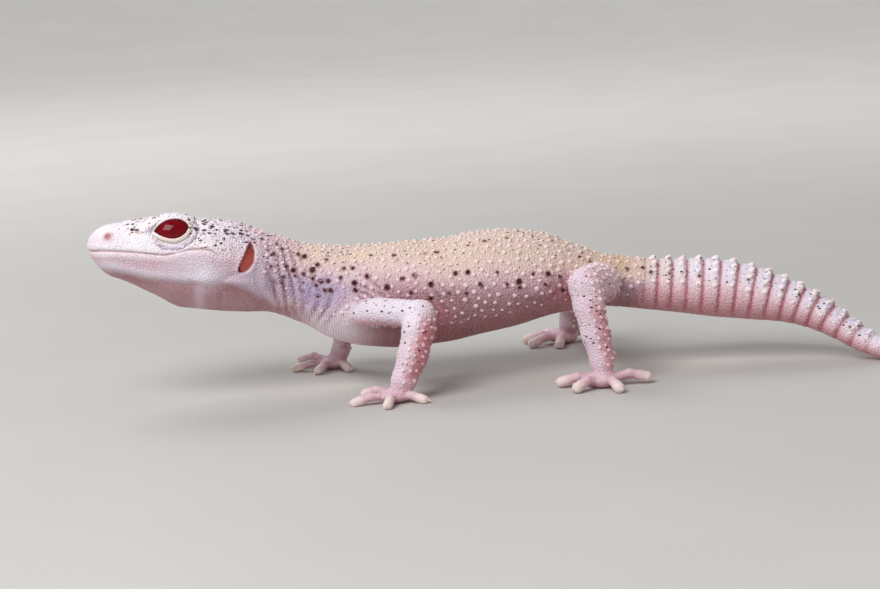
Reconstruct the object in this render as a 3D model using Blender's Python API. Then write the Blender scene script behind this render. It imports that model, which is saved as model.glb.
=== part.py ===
"""Leopard gecko, life size, standing on four feet with the tail's end laid on the ground.

The tables are in millimetres, and the meshes are in metres, +Z up. The snout points to -X, the animal's
left side faces -Y, and the origin lies on the ground under the middle of the whole. The body is one tube of
sections from snout to tail tip, parted with thin cuts into head, lower jaw, neck, trunk and three lengths
of tail. Each leg is a chain of round-ended lengths, parted at its joints, that ends in a foot with five
clawed toes.
"""

import math

import bmesh
import bpy
import numpy as np
from mathutils import Matrix, Vector

MM = 0.001
GAP = 0.3  # clearance between neighbouring solids
CUT_MARGIN = 2.0  # how far a cutter runs past what it cuts

# ---------------------------------------------------------------- the body's sections
# Each row is one cross-section: where the middle of its widest level lies, how far it reaches above and below
# that level, half its width, and how square its upper and lower halves are (2 is an ellipse, more is boxier).
# The sections stand upright as far as the hips and square to the tail's own line from there on.
#      x,     y,    z,   up, down, half, upper, lower
SECTIONS = [
    (-93.5, 0.0, 35.3, 4.2, 5.5, 6.3, 2.3, 2.2),  # end of the snout, before its rounding
    (-87.0, 0.0, 33.8, 6.0, 6.6, 7.8, 2.4, 2.0),  # nostrils
    (-80.0, 0.0, 32.8, 7.7, 9.5, 9.9, 2.4, 1.8),  # front of the eyes
    (-74.0, 0.0, 31.8, 7.9, 11.9, 11.5, 2.5, 1.7),  # eyes
    (-67.0, 0.0, 30.4, 8.8, 11.8, 12.6, 2.4, 1.7),  # corner of the jaws
    (-61.0, 0.0, 28.9, 9.1, 11.1, 11.9, 2.2, 1.8),  # ears
    (-54.5, 0.0, 26.3, 9.0, 9.3, 9.6, 2.1, 1.9),  # nape
    (-48.0, 0.0, 24.0, 8.7, 9.8, 8.8, 2.0, 2.0),  # neck
    (-42.5, 0.0, 22.1, 9.5, 11.3, 9.6, 2.0, 2.0),  # foot of the neck
    (-35.0, 0.1, 20.5, 10.5, 12.1, 10.7, 2.0, 2.0),  # shoulders
    (-26.0, 0.3, 20.0, 11.1, 12.5, 11.6, 2.0, 2.1),  # chest
    (-17.0, 0.7, 20.0, 11.2, 12.0, 12.3, 2.0, 2.1),  # front of the belly
    (-9.0, 1.0, 20.6, 11.5, 11.3, 12.4, 2.1, 2.1),  # belly
    (-2.0, 1.3, 21.0, 11.1, 10.6, 11.9, 2.1, 2.1),  # loins
    (6.0, 1.5, 21.3, 9.5, 9.0, 10.4, 2.1, 2.1),
    (13.0, 1.6, 20.9, 7.0, 7.7, 8.4, 2.0, 2.0),  # hips
    (19.0, 1.5, 19.6, 5.7, 6.3, 6.6, 2.0, 2.0),  # vent
    (25.0, 1.3, 18.4, 5.8, 5.9, 5.8, 2.0, 2.0),  # narrow root of the tail
    (33.5, 0.9, 17.3, 6.1, 6.1, 6.3, 2.0, 2.0),  # tail swelling
    (43.0, 0.1, 16.2, 6.7, 6.6, 7.1, 2.0, 2.0),  # fattest part of the tail
    (51.0, -1.1, 14.7, 6.1, 6.1, 6.8, 2.0, 2.0),
    (58.0, -2.6, 12.8, 5.0, 5.0, 5.9, 2.0, 2.0),
    (64.0, -4.4, 10.3, 4.1, 4.1, 5.0, 2.0, 2.0),
    (69.5, -6.9, 6.9, 3.3, 3.3, 4.1, 2.0, 2.0),
    (74.0, -9.4, 3.9, 2.8, 2.8, 3.4, 2.0, 2.0),  # the tail comes down to the ground
    (78.5, -11.9, 2.3, 2.3, 2.4, 2.8, 2.0, 2.0),
    (84.0, -15.0, 1.6, 1.8, 1.8, 2.1, 2.0, 2.0),
    (94.0, -20.4, 0.8, 1.0, 1.0, 1.2, 2.0, 2.0),  # tail tip, before its rounding
]
SNOUT, SNOUT_ROUNDING = SECTIONS[0][0], 5.6  # foremost point, and the length of the rounding behind it
TIP, TIP_ROUNDING = SECTIONS[-1][0], 4.0
LEAN_FROM, LEAN_TO = 14.0, 26.0  # where the sections change from upright to square to the tail
BODY_SIDES = 24
RING_STEP, HEAD_STEP = 3.6, 3.0  # spacing of the rings

# The head is shaped straight ahead, then turned to the left about the nape, with its left side up a little.
HEAD_YAW, HEAD_ROLL = math.radians(8), math.radians(6)
TURN_FROM, TURN_TO = -42.0, -56.0  # the turn grows along the neck between these
TURN_CENTRE = (-54.0, 0.0, 30.0)

# The cuts across the body, from head to tail tip.
HEAD_END = -56.0
LENGTHS = [
    ("neck", -56.0, -42.0),
    ("trunk", -42.0, 22.0),
    ("tail_base", 22.0, 46.0),
    ("tail_middle", 46.0, 68.0),
    ("tail_tip", 68.0, TIP),
]

# ---------------------------------------------------------------- the head's own parts
EYE_CENTRE = (-74.7, 5.4, 36.5)  # on the +Y side; the other side mirrors it
EYE_HALF = (4.25, 3.6, 3.85)  # half its length and height, and its half depth along the gaze
LID_THICKNESS = 0.4
LID_OPENING = (3.9, 2.6)  # half length and half height of the gap between the lids
GAZE = (-0.10, 0.94, 0.31)  # the way the eye faces
EAR_CENTRE = (-59.3, 11.8, 30.2)
EAR_HALF = (1.5, 1.9, 3.4)  # half width, half depth and half height of the opening
EAR_LEAN = math.radians(24)  # its top leans back
DRUM_HALF = (0.85, 0.3, 2.5)
DRUM_DEPTH = 1.0
NOSTRIL_CENTRE = (-88.7, 6.1, 36.8)
NOSTRIL_RADIUS = 0.6
# The line of the closed mouth in side view: height at each place from past the snout to its corner.
MOUTH = [
    (-97.0, 33.9),
    (-90.0, 34.0),
    (-84.0, 33.3),
    (-80.0, 32.7),
    (-77.0, 32.2),
    (-73.0, 32.7),
    (-70.0, 32.9),
    (-66.5, 31.6),
]
JAW_HEEL = (-59.5, 12.0)  # where the cut behind the jaw leaves the throat, below the skin

# ---------------------------------------------------------------- the legs
# Each chain runs from inside the trunk to the foot: (x, y, z, radius).
ARM_LEFT = [
    (-38.0, -5.0, 17.6, 4.4),
    (-31.0, -11.6, 17.9, 3.2),
    (-22.0, -16.4, 17.4, 3.3),  # elbow
    (-22.6, -18.2, 14.6, 3.7),
    (-24.2, -20.2, 9.4, 3.4),
    (-26.4, -21.6, 4.6, 2.8),  # wrist
]
ARM_RIGHT = [
    (-37.5, 5.0, 17.6, 4.2),
    (-38.2, 11.6, 17.9, 3.2),
    (-38.6, 16.2, 16.2, 3.1),
    (-39.2, 17.0, 12.6, 3.0),
    (-40.2, 17.7, 8.2, 2.5),
    (-41.2, 18.0, 4.4, 2.2),
]
LEG_LEFT = [
    (18.5, -2.0, 19.0, 4.4),
    (15.6, -10.0, 20.8, 4.2),
    (13.4, -15.4, 21.4, 3.9),  # knee
    (13.7, -17.0, 17.0, 3.5),
    (14.7, -18.4, 11.0, 3.2),
    (15.8, -19.2, 5.6, 2.8),  # ankle
]
LEG_RIGHT = [
    (18.5, 6.0, 19.0, 4.4),
    (15.4, 14.4, 20.0, 4.1),
    (13.0, 21.2, 19.8, 3.7),
    (12.9, 24.0, 15.8, 3.4),
    (12.8, 27.2, 10.4, 3.1),
    (12.6, 29.6, 5.4, 2.7),
]
JOINT_ROW, END_ROW = 2, 5  # the rows of the elbow or knee, and of the wrist or ankle
CHAIN_SIDES = 12

# ---------------------------------------------------------------- the feet
# Each foot has a flat palm (centre, half sizes) and five toes from the inner to the outer one, each given by
# the place of its tip and the height of its arched middle.
FEET = {
    "forefoot_left": {
        "palm": ((-28.2, -22.2, 1.5), (3.3, 2.8, 1.6)),
        "toes": [
            (-26.6, -16.8, 1.0),
            (-34.8, -18.0, 1.9),
            (-36.9, -23.4, 1.2),
            (-30.0, -28.2, 1.2),
            (-22.4, -24.8, 1.1),
        ],
        "girth": 0.85,
    },
    "forefoot_right": {
        "palm": ((-43.0, 18.2, 1.5), (3.1, 2.6, 1.6)),
        "toes": [
            (-39.4, 13.4, 1.2),
            (-46.4, 12.8, 1.2),
            (-51.6, 17.4, 1.2),
            (-50.6, 23.0, 2.2),
            (-43.6, 24.2, 1.4),
        ],
        "girth": 0.8,
    },
    "hindfoot_left": {
        "palm": ((15.6, -20.3, 1.6), (3.5, 3.0, 1.8)),
        "toes": [
            (12.0, -14.6, 1.2),
            (7.0, -18.4, 1.8),
            (9.9, -24.8, 1.7),
            (18.4, -27.2, 1.6),
            (25.0, -19.4, 2.0),
        ],
        "girth": 0.95,
    },
    "hindfoot_right": {
        "palm": ((11.0, 31.0, 1.6), (3.5, 3.0, 1.8)),
        "toes": [
            (9.4, 24.8, 1.2),
            (3.4, 27.2, 1.6),
            (2.4, 32.6, 1.6),
            (7.2, 37.8, 1.6),
            (17.0, 35.8, 1.6),
        ],
        "girth": 0.95,
    },
}
TOE_SIDES = 6
CLAW_LENGTH, CLAW_GIRTH, CLAW_SIDES = 1.5, 0.42, 5
TOE_TIP_LEVEL = 0.75  # height of the toe's centre where it meets the ground
FINE_SIDES = 8  # a tube with more sides than this gets the second set of rings below at its ball ends
CAP_ANGLES = ((0.8,), (0.55, 1.1))
MIDDLE = (0.4, 4.7)  # the point of these tables that lies under the middle of the whole animal

COLOURS = {
    "skin": ((0.86, 0.72, 0.70), 0.55),
    "eye": ((0.35, 0.01, 0.01), 0.1),
    "eardrum": ((0.55, 0.13, 0.09), 0.5),
}


def clear_scene():
    for obj in list(bpy.data.objects):
        bpy.data.objects.remove(obj)


def material(name):
    """A Principled finish shared by every sub-part of that kind."""
    made = bpy.data.materials.new(name)
    made.use_nodes = True
    colour, roughness = COLOURS[name]
    shader = made.node_tree.nodes["Principled BSDF"]
    shader.inputs["Base Color"].default_value = (*colour, 1)
    shader.inputs["Roughness"].default_value = roughness
    shader.inputs["Metallic"].default_value = 0.0
    return made


# ---------------------------------------------------------------- curves through the tables
def slopes(xs, ys):
    """Slope at each point of a table: the harmonic mean of the two beside it, so that nothing overshoots."""
    step = np.diff(ys) / np.diff(xs)
    inner = np.zeros(len(xs) - 2)
    same = step[:-1] * step[1:] > 0
    inner[same] = 2 * step[:-1][same] * step[1:][same] / (step[:-1][same] + step[1:][same])
    return np.concatenate([[step[0]], inner, [step[-1]]])


def along(xs, ys, x):
    """Cubic curve through a table's points, read at x."""
    xs, ys = np.asarray(xs, float), np.asarray(ys, float)
    x = np.clip(x, xs[0], xs[-1])
    i = np.clip(np.searchsorted(xs, x) - 1, 0, len(xs) - 2)
    width = xs[i + 1] - xs[i]
    t = (x - xs[i]) / width
    m = slopes(xs, ys)
    return (
        (2 * t**3 - 3 * t**2 + 1) * ys[i]
        + (t**3 - 2 * t**2 + t) * width * m[i]
        + (3 * t**2 - 2 * t**3) * ys[i + 1]
        + (t**3 - t**2) * width * m[i + 1]
    )


def rounding(x, end, length):
    """0 at a rounded end and 1 from length away from it on, as a quarter ellipse."""
    t = min(abs(x - end) / length, 1.0)
    return math.sqrt(1 - (1 - t) ** 2)


def smooth(start, end, x):
    """0 at start and 1 at end, with level ends."""
    t = min(max((x - start) / (end - start), 0.0), 1.0)
    return t * t * (3 - 2 * t)


def column(k, x):
    """Column k of the table of sections at x."""
    table = np.array(SECTIONS)
    return float(along(table[:, 0], table[:, k], x))


def centre_line(x):
    return Vector((x, column(1, x), column(2, x)))


def frame_at(x):
    """The directions across and up of the section at x."""
    run = centre_line(min(x + 0.5, TIP)) - centre_line(max(x - 0.5, SNOUT))
    run = Vector((1, 0, 0)).lerp(run.normalized(), smooth(LEAN_FROM, LEAN_TO, x)).normalized()
    across = Vector((0, 0, 1)).cross(run).normalized()
    return across, run.cross(across)


def turned_head(point):
    """Where a point of the straight head or neck goes when the head is turned."""
    share = smooth(TURN_FROM, TURN_TO, point[0])
    turn = Matrix.Rotation(HEAD_YAW * share, 3, "Z") @ Matrix.Rotation(-HEAD_ROLL * share, 3, "X")
    centre = Vector(TURN_CENTRE)
    return turn @ (Vector(point) - centre) + centre


def body_ring(x, swell=0.0):
    """Points round the body at x. swell moves them all outwards. No point goes under the ground."""
    up, down, half, upper, lower = (column(k, x) for k in range(3, 8))
    share = rounding(x, SNOUT, SNOUT_ROUNDING) * rounding(x, TIP, TIP_ROUNDING)
    centre, (across, over) = centre_line(x), frame_at(x)
    points = []
    for k in range(BODY_SIDES):
        angle = 2 * math.pi * k / BODY_SIDES
        side, rise = math.cos(angle), math.sin(angle)
        height, power = (up, upper) if rise >= 0 else (down, lower)
        reach = share * (abs(side / half) ** power + abs(rise / height) ** power) ** (-1 / power) + swell
        point = turned_head(centre + (across * side + over * rise) * reach)
        points.append((point.x, point.y, max(point.z, -swell)))
    return points


def ring_places(start, end, step):
    """Where the rings lie between two cuts: evenly, but closing up towards a rounded end."""
    places = list(np.linspace(start, end, max(2, round((end - start) / step) + 1)))
    for tip, length, inward in ((SNOUT, SNOUT_ROUNDING, 1), (TIP, TIP_ROUNDING, -1)):
        if tip in (start, end):
            places = [x for x in places if abs(x - tip) > length]
            places += [tip + inward * length * (1 - math.cos(math.radians(a))) for a in (20, 40, 62, 82)]
    return sorted(places)


# ---------------------------------------------------------------- meshes
def new_object(name, mesh_maker, finish):
    """Makes one object from a bmesh in millimetres, filled by mesh_maker."""
    bm = bmesh.new()
    mesh_maker(bm)
    bmesh.ops.translate(bm, vec=(-MIDDLE[0], -MIDDLE[1], 0), verts=bm.verts)
    bmesh.ops.scale(bm, vec=(MM, MM, MM), verts=bm.verts)
    bmesh.ops.recalc_face_normals(bm, faces=bm.faces)
    mesh = bpy.data.meshes.new(name)
    bm.to_mesh(mesh)
    bm.free()
    mesh.shade_smooth()
    mesh.set_sharp_from_angle(angle=math.radians(40))
    obj = bpy.data.objects.new(name, mesh)
    obj.data.materials.append(finish)
    bpy.context.scene.collection.objects.link(obj)
    return obj


def bridge(bm, rings, first_pole=None, last_pole=None):
    """A closed tube through rings of points. Each end is a fan round a pole where one is given, or flat."""
    loops = [[bm.verts.new(p) for p in ring] for ring in rings]
    count = len(loops[0])
    for a, b in zip(loops, loops[1:]):
        for k in range(count):
            n = (k + 1) % count
            bm.faces.new((a[k], a[n], b[n], b[k]))
    for loop, pole, turn in ((loops[0], first_pole, -1), (loops[-1], last_pole, 1)):
        if pole is None:
            bm.faces.new(loop[::turn])
            continue
        tip = bm.verts.new(pole)
        for k in range(count):
            pair = (loop[k], loop[(k + 1) % count])[::turn]
            bm.faces.new((*pair, tip))


def body_length(bm, start, end, step=RING_STEP, swell=0.0):
    """The body between two upright cuts, with a pole where it ends at the snout or the tail tip."""
    rings = [body_ring(x, swell) for x in ring_places(start, end, step)]
    snout = turned_head(centre_line(SNOUT)) if start == SNOUT else None
    tip = centre_line(TIP) if end == TIP else None
    bridge(bm, rings, snout, tip)


def ball(bm, centre, half, turn=None, segments=14, rings=9):
    """An ellipsoid of the given half sizes, turned by a rotation matrix."""
    made = bmesh.ops.create_uvsphere(bm, u_segments=segments, v_segments=rings, radius=1.0)
    place = Matrix.Translation(centre) @ (turn or Matrix.Identity(3)).to_4x4() @ Matrix.Diagonal((*half, 1))
    bmesh.ops.transform(bm, matrix=place, verts=made["verts"])


def round_cap(centre, outward, radius, angles):
    """Rings of a ball end: their middles and radii, from the tube outwards."""
    return [(centre + outward * radius * math.sin(a), radius * math.cos(a)) for a in angles]


def tube(bm, points, radii, sides, round_start=True):
    """A round tube along points with a ball end, and a ball or a flat start."""
    path = [Vector(p) for p in points]
    last = len(path) - 1
    runs = [(path[min(i + 1, last)] - path[max(i - 1, 0)]).normalized() for i in range(last + 1)]
    angles = CAP_ANGLES[sides > FINE_SIDES]
    cap = round_cap(path[last], runs[last], radii[last], angles)
    stations = [*zip(path, radii, runs), *((p, r, runs[last]) for p, r in cap)]
    if round_start:
        cap = round_cap(path[0], -runs[0], radii[0], angles)
        stations = [(p, r, runs[0]) for p, r in cap[::-1]] + stations
    guide = Vector((0, 0, 1)) if abs(runs[0].z) < 0.8 else Vector((1, 0, 0))
    rings = []
    for centre, radius, run in stations:
        across = run.cross(guide).normalized()
        guide = across.cross(run)
        turns = [2 * math.pi * k / sides for k in range(sides)]
        rings.append([centre + (across * math.cos(a) + guide * math.sin(a)) * radius for a in turns])
    start = path[0] - runs[0] * radii[0] if round_start else None
    bridge(bm, rings, start, path[last] + runs[last] * radii[last])


def block(bm, low, high):
    """A plain box between two corners, for cutting."""
    middle = [(a + b) / 2 for a, b in zip(low, high)]
    size = [b - a for a, b in zip(low, high)]
    bmesh.ops.create_cube(bm, size=1.0, matrix=Matrix.Translation(middle) @ Matrix.Diagonal((*size, 1)))


def combine(obj, others, operation):
    """Joins, cuts or intersects obj with the other objects in turn, and removes them."""
    for other in others:
        step = obj.modifiers.new(operation, "BOOLEAN")
        step.operation, step.object = operation, other
    graph = bpy.context.evaluated_depsgraph_get()
    mesh = bpy.data.meshes.new_from_object(obj.evaluated_get(graph), depsgraph=graph)
    obj.modifiers.clear()
    obj.data = mesh
    for other in others:
        bpy.data.objects.remove(other)


def part_with_plane(bm, point, normal):
    """Keeps what lies behind a plane, and closes the cut with one flat face."""
    geometry = bm.verts[:] + bm.edges[:] + bm.faces[:]
    cut = bmesh.ops.bisect_plane(bm, geom=geometry, plane_co=point, plane_no=normal, clear_outer=True)
    rim = [edge for edge in cut["geom_cut"] if isinstance(edge, bmesh.types.BMEdge)]
    bmesh.ops.edgeloop_fill(bm, edges=rim)


# ---------------------------------------------------------------- head
def gaze_turn(side):
    """Rotation whose +Z looks out of the eye on that side, with +X along the gap between the lids."""
    out = Vector((GAZE[0], GAZE[1] * side, GAZE[2])).normalized()
    length = (Vector((1, 0, 0)) - out * out.x).normalized()
    return Matrix((length, out.cross(length), out)).transposed()


def mirrored(point, side):
    return Vector((point[0], point[1] * side, point[2]))


def turn_all(bm):
    """Turns a part that was shaped on the straight head."""
    for vert in bm.verts:
        vert.co = turned_head(vert.co)


def jaw_outline(drop):
    """Side view of everything under the mouth line, lowered or drawn in by drop."""
    heel_x, heel_z = JAW_HEEL
    mouth = [(x, z - drop) for x, z in MOUTH]
    return [*mouth, (heel_x - drop, heel_z), (MOUTH[0][0], heel_z)]


def prism(bm, outline, half_width):
    """An outline in side view, carried across the animal."""
    near = [bm.verts.new((x, -half_width, z)) for x, z in outline]
    far = [bm.verts.new((x, half_width, z)) for x, z in outline]
    count = len(outline)
    for k in range(count):
        n = (k + 1) % count
        bm.faces.new((near[k], near[n], far[n], far[k]))
    bm.faces.new(near[::-1])
    bm.faces.new(far)


def head_part(name, finish, shape, *sizes):
    """One object shaped on the straight head by shape(bm, *sizes), then turned with it."""

    def fill(bm):
        shape(bm, *sizes)
        turn_all(bm)

    return new_object(name, fill, finish)


def make_head(finishes):
    """Head with lids round its eyes, ear openings and nostrils, parted from the lower jaw along the mouth."""
    skin = finishes["skin"]
    head = new_object("head", lambda bm: body_length(bm, SNOUT, HEAD_END - GAP / 2, HEAD_STEP), skin)
    mounds, hollows = [], []
    for side in (1, -1):
        eye, turn = mirrored(EYE_CENTRE, side), gaze_turn(side)
        socket = [half + GAP for half in EYE_HALF]
        lid = [half + LID_THICKNESS for half in socket]
        opening = eye + turn @ Vector((0, 0, lid[2]))
        ear, lean = mirrored(EAR_CENTRE, side), Matrix.Rotation(EAR_LEAN, 3, "Y")
        mounds.append(head_part("mound", skin, ball, eye, lid, turn))
        hollows.append(head_part("socket", skin, ball, eye, socket, turn))
        hollows.append(head_part("gap", skin, ball, opening, (*LID_OPENING, CUT_MARGIN), turn))
        hollows.append(head_part("ear", skin, ball, ear, EAR_HALF, lean, 12, 8))
        pit = mirrored(NOSTRIL_CENTRE, side)
        hollows.append(head_part("pit", skin, ball, pit, (NOSTRIL_RADIUS,) * 3, None, 8, 6))
        word = "right" if side > 0 else "left"
        head_part(f"eye_{word}", finishes["eye"], ball, eye, EYE_HALF, turn, 18, 12)
        drum = ear - Vector((0, side * DRUM_DEPTH, 0))
        head_part(f"eardrum_{word}", finishes["eardrum"], ball, drum, DRUM_HALF, lean, 10, 8)
    combine(head, mounds, "UNION")
    combine(head, hollows, "DIFFERENCE")
    whole = head.copy()
    whole.data = head.data.copy()
    bpy.context.scene.collection.objects.link(whole)
    jaw = head_part("lower_jaw", skin, prism, jaw_outline(GAP), 20)
    combine(jaw, [whole], "INTERSECT")
    combine(head, [head_part("under", skin, prism, jaw_outline(0), 20)], "DIFFERENCE")


# ---------------------------------------------------------------- neck, trunk and tail
def make_body(finishes):
    for name, start, end in LENGTHS:
        last = end if end == TIP else end - GAP / 2
        new_object(name, lambda bm: body_length(bm, start + GAP / 2, last), finishes["skin"])


# ---------------------------------------------------------------- legs
def joint_normal(chain, row):
    """Direction that halves the bend at a joint, along the limb."""
    before = (Vector(chain[row][:3]) - Vector(chain[row - 1][:3])).normalized()
    after = (Vector(chain[row + 1][:3]) - Vector(chain[row][:3])).normalized()
    return (before + after).normalized()


def end_normal(chain):
    return (Vector(chain[END_ROW][:3]) - Vector(chain[END_ROW - 1][:3])).normalized()


def make_limb(names, chain, finishes):
    """Upper and lower length of one limb, the upper one cut clear of the trunk."""
    points, radii = [row[:3] for row in chain], [row[3] for row in chain]
    bend, end = joint_normal(chain, JOINT_ROW), end_normal(chain)
    joint, tip = Vector(points[JOINT_ROW]), Vector(points[END_ROW])

    def upper(bm):
        tube(bm, points[: JOINT_ROW + 1], radii[: JOINT_ROW + 1], CHAIN_SIDES)
        part_with_plane(bm, joint - bend * GAP / 2, bend)

    def lower(bm):
        tube(bm, points[JOINT_ROW:], radii[JOINT_ROW:], CHAIN_SIDES)
        part_with_plane(bm, joint + bend * GAP / 2, -bend)
        part_with_plane(bm, tip - end * GAP / 2, end)

    top = new_object(names[0], upper, finishes["skin"])
    trunk = new_object("clear", lambda bm: body_length(bm, -50.0, 40.0, RING_STEP, GAP), finishes["skin"])
    combine(top, [trunk], "DIFFERENCE")
    new_object(names[1], lower, finishes["skin"])


# ---------------------------------------------------------------- feet
def toe_path(palm, tip):
    """A toe's centre line: out of the palm, over its arched middle and down to the tip."""
    start, end = Vector(palm), Vector((tip[0], tip[1], TOE_TIP_LEVEL))
    middle = start.lerp(end, 0.62)
    middle.z = tip[2] + 0.35
    return [start, middle, middle.lerp(end, 0.6), end]


def make_toe(path, girth, finish):
    """One toe, a little swollen at its end."""
    radii = [girth * share for share in (1.35, 0.95, 0.9, 0.95)]
    return new_object("toe", lambda bm: tube(bm, path, radii, TOE_SIDES), finish)


def make_claw(path, girth, finish):
    """The claw at a toe's end: a small hook that comes down to the ground."""
    out = (path[-1] - path[-2]).normalized()
    out.z = 0
    out.normalize()
    root = path[-1] + out * girth * 0.3
    root.z += CLAW_GIRTH * 0.6
    knee = root + out * CLAW_LENGTH * 0.62
    point = knee + out * CLAW_LENGTH * 0.42 + Vector((0, 0, -0.62))
    radii = (CLAW_GIRTH, CLAW_GIRTH * 0.85, CLAW_GIRTH * 0.6)
    return new_object("claw", lambda bm: tube(bm, (root, knee, point), radii, CLAW_SIDES, False), finish)


def make_foot(name, foot, chain, finishes):
    """Palm, ankle, toes and claws joined into one solid with a flat sole on the ground."""
    skin = finishes["skin"]
    centre, half = foot["palm"]
    end, tip, radius = end_normal(chain), Vector(chain[END_ROW][:3]), chain[END_ROW][3]

    def ankle(bm):
        heel = Vector(centre) + Vector((0, 0, 0.5))
        path = (tip - end * 1.5, tip, tip.lerp(heel, 0.55), heel)
        tube(bm, path, (radius * 1.05, radius, radius * 0.86, 1.5), CHAIN_SIDES)
        part_with_plane(bm, tip + end * GAP / 2, -end)

    made = new_object(name, ankle, skin)
    pieces = [new_object("palm", lambda bm: ball(bm, centre, half, None, 12, 8), skin)]
    for toe in foot["toes"]:
        path = toe_path(centre, toe)
        pieces.append(make_toe(path, foot["girth"], skin))
        pieces.append(make_claw(path, foot["girth"], skin))
    combine(made, pieces, "UNION")
    low, high = (centre[0] - 20, centre[1] - 20, -8), (centre[0] + 20, centre[1] + 20, 0)
    combine(made, [new_object("ground", lambda bm: block(bm, low, high), skin)], "DIFFERENCE")
    keep_behind_joint(made, tip + end * GAP / 2, end)


def keep_behind_joint(obj, point, end):
    """Trims anything of a foot that reaches up past its wrist or ankle cut."""
    place = (point - Vector((*MIDDLE, 0))) * MM
    bm = bmesh.new()
    bm.from_mesh(obj.data)
    if min((vert.co - place).dot(end) for vert in bm.verts) < -1e-6:
        part_with_plane(bm, place, -end)
        bm.to_mesh(obj.data)
    bm.free()


def main():
    clear_scene()
    finishes = {name: material(name) for name in COLOURS}
    make_head(finishes)
    make_body(finishes)
    make_limb(("upper_arm_left", "forearm_left"), ARM_LEFT, finishes)
    make_limb(("upper_arm_right", "forearm_right"), ARM_RIGHT, finishes)
    make_limb(("thigh_left", "shank_left"), LEG_LEFT, finishes)
    make_limb(("thigh_right", "shank_right"), LEG_RIGHT, finishes)
    chains = {
        "forefoot_left": ARM_LEFT,
        "forefoot_right": ARM_RIGHT,
        "hindfoot_left": LEG_LEFT,
        "hindfoot_right": LEG_RIGHT,
    }
    for name, foot in FEET.items():
        make_foot(name, foot, chains[name], finishes)


main()
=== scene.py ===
import math

import bpy
import numpy as np
from mathutils import Matrix, Vector


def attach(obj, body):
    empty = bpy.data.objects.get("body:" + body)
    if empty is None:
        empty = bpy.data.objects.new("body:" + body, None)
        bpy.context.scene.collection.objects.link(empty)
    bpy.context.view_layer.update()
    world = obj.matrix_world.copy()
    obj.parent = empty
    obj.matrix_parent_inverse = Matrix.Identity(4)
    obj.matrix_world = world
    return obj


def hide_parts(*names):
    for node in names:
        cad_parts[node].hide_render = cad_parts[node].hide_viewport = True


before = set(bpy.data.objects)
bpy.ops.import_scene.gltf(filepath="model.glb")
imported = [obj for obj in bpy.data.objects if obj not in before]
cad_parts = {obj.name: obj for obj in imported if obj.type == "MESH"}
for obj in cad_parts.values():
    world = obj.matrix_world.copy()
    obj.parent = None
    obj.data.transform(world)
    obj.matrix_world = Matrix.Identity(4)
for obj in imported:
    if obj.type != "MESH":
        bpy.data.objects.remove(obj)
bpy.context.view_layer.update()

# ============================================================ the body's form
# One animal, so one skin from snout to tail tip and down to the toes. The shapes below are in millimetres, on
# the datum that the solids use, and to_metres puts them where the solids lie. The skin lies inside the solids
# by the depth of the scales that stand on it.
MM = 0.001
SOLIDS_MIDDLE = np.array([0.4, 4.7, 0.0])
SKIN_INSET = 0.30

#     x,    y,    z,   up, down, half, upper, lower: a section's middle, its reach above and below its widest
#     level, half its width, and how square its two halves are (2 is an ellipse)
BODY = np.array(
    [
        (-93.5, 0.0, 35.6, 4.0, 5.8, 6.3, 2.3, 2.2),  # snout
        (-87.0, 0.0, 34.0, 5.9, 6.8, 7.8, 2.4, 2.0),  # nostrils
        (-80.0, 0.0, 32.8, 7.7, 9.5, 9.9, 2.4, 1.8),
        (-74.0, 0.0, 31.8, 7.9, 11.9, 11.5, 2.5, 1.7),  # eyes
        (-67.0, 0.0, 30.4, 8.8, 11.8, 12.6, 2.4, 1.7),  # corner of the jaws
        (-61.0, 0.0, 28.9, 9.1, 11.1, 11.9, 2.2, 1.8),  # ears
        (-54.5, 0.0, 26.3, 9.0, 9.3, 9.6, 2.1, 1.9),
        (-48.0, 0.0, 24.0, 8.7, 9.8, 8.8, 2.0, 2.0),  # neck
        (-42.5, 0.0, 22.1, 9.5, 11.3, 9.6, 2.0, 2.0),
        (-35.0, 0.1, 20.5, 10.5, 12.1, 10.7, 2.0, 2.0),  # shoulders
        (-26.0, 0.3, 20.0, 11.1, 12.5, 11.6, 2.0, 2.1),
        (-17.0, 0.7, 20.0, 11.2, 12.0, 12.3, 2.0, 2.1),
        (-9.0, 1.0, 20.6, 11.5, 11.3, 12.4, 2.1, 2.1),  # belly
        (-2.0, 1.3, 21.0, 11.1, 10.6, 11.9, 2.1, 2.1),
        (6.0, 1.5, 21.3, 9.5, 9.0, 10.4, 2.1, 2.1),
        (13.0, 1.6, 20.9, 7.0, 7.7, 8.4, 2.0, 2.0),  # hips
        (19.0, 1.5, 19.6, 5.7, 6.3, 6.6, 2.0, 2.0),
        (25.0, 1.3, 18.4, 5.8, 5.9, 5.8, 2.0, 2.0),  # root of the tail
        (33.5, 0.9, 17.3, 6.1, 6.1, 6.3, 2.0, 2.0),
        (43.0, 0.1, 16.2, 6.7, 6.6, 7.1, 2.0, 2.0),  # fattest part of the tail
        (51.0, -1.1, 14.7, 6.1, 6.1, 6.8, 2.0, 2.0),
        (58.0, -2.6, 12.8, 5.0, 5.0, 5.9, 2.0, 2.0),
        (64.0, -4.4, 10.3, 4.1, 4.1, 5.0, 2.0, 2.0),
        (69.5, -6.9, 6.9, 3.3, 3.3, 4.1, 2.0, 2.0),
        (74.0, -9.4, 3.9, 2.8, 2.8, 3.4, 2.0, 2.0),
        (78.5, -11.9, 2.3, 2.3, 2.4, 2.8, 2.0, 2.0),
        (84.0, -15.0, 1.6, 1.8, 1.8, 2.1, 2.0, 2.0),
        (94.0, -20.4, 0.8, 1.0, 1.0, 1.2, 2.0, 2.0),  # tail tip
    ]
)
SNOUT, SNOUT_ROUNDING = BODY[0, 0], 5.4
TIP, TIP_ROUNDING = BODY[-1, 0], 4.0
LEAN_FROM, LEAN_TO = 14.0, 26.0  # sections stand upright before, and square to the tail after
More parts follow.
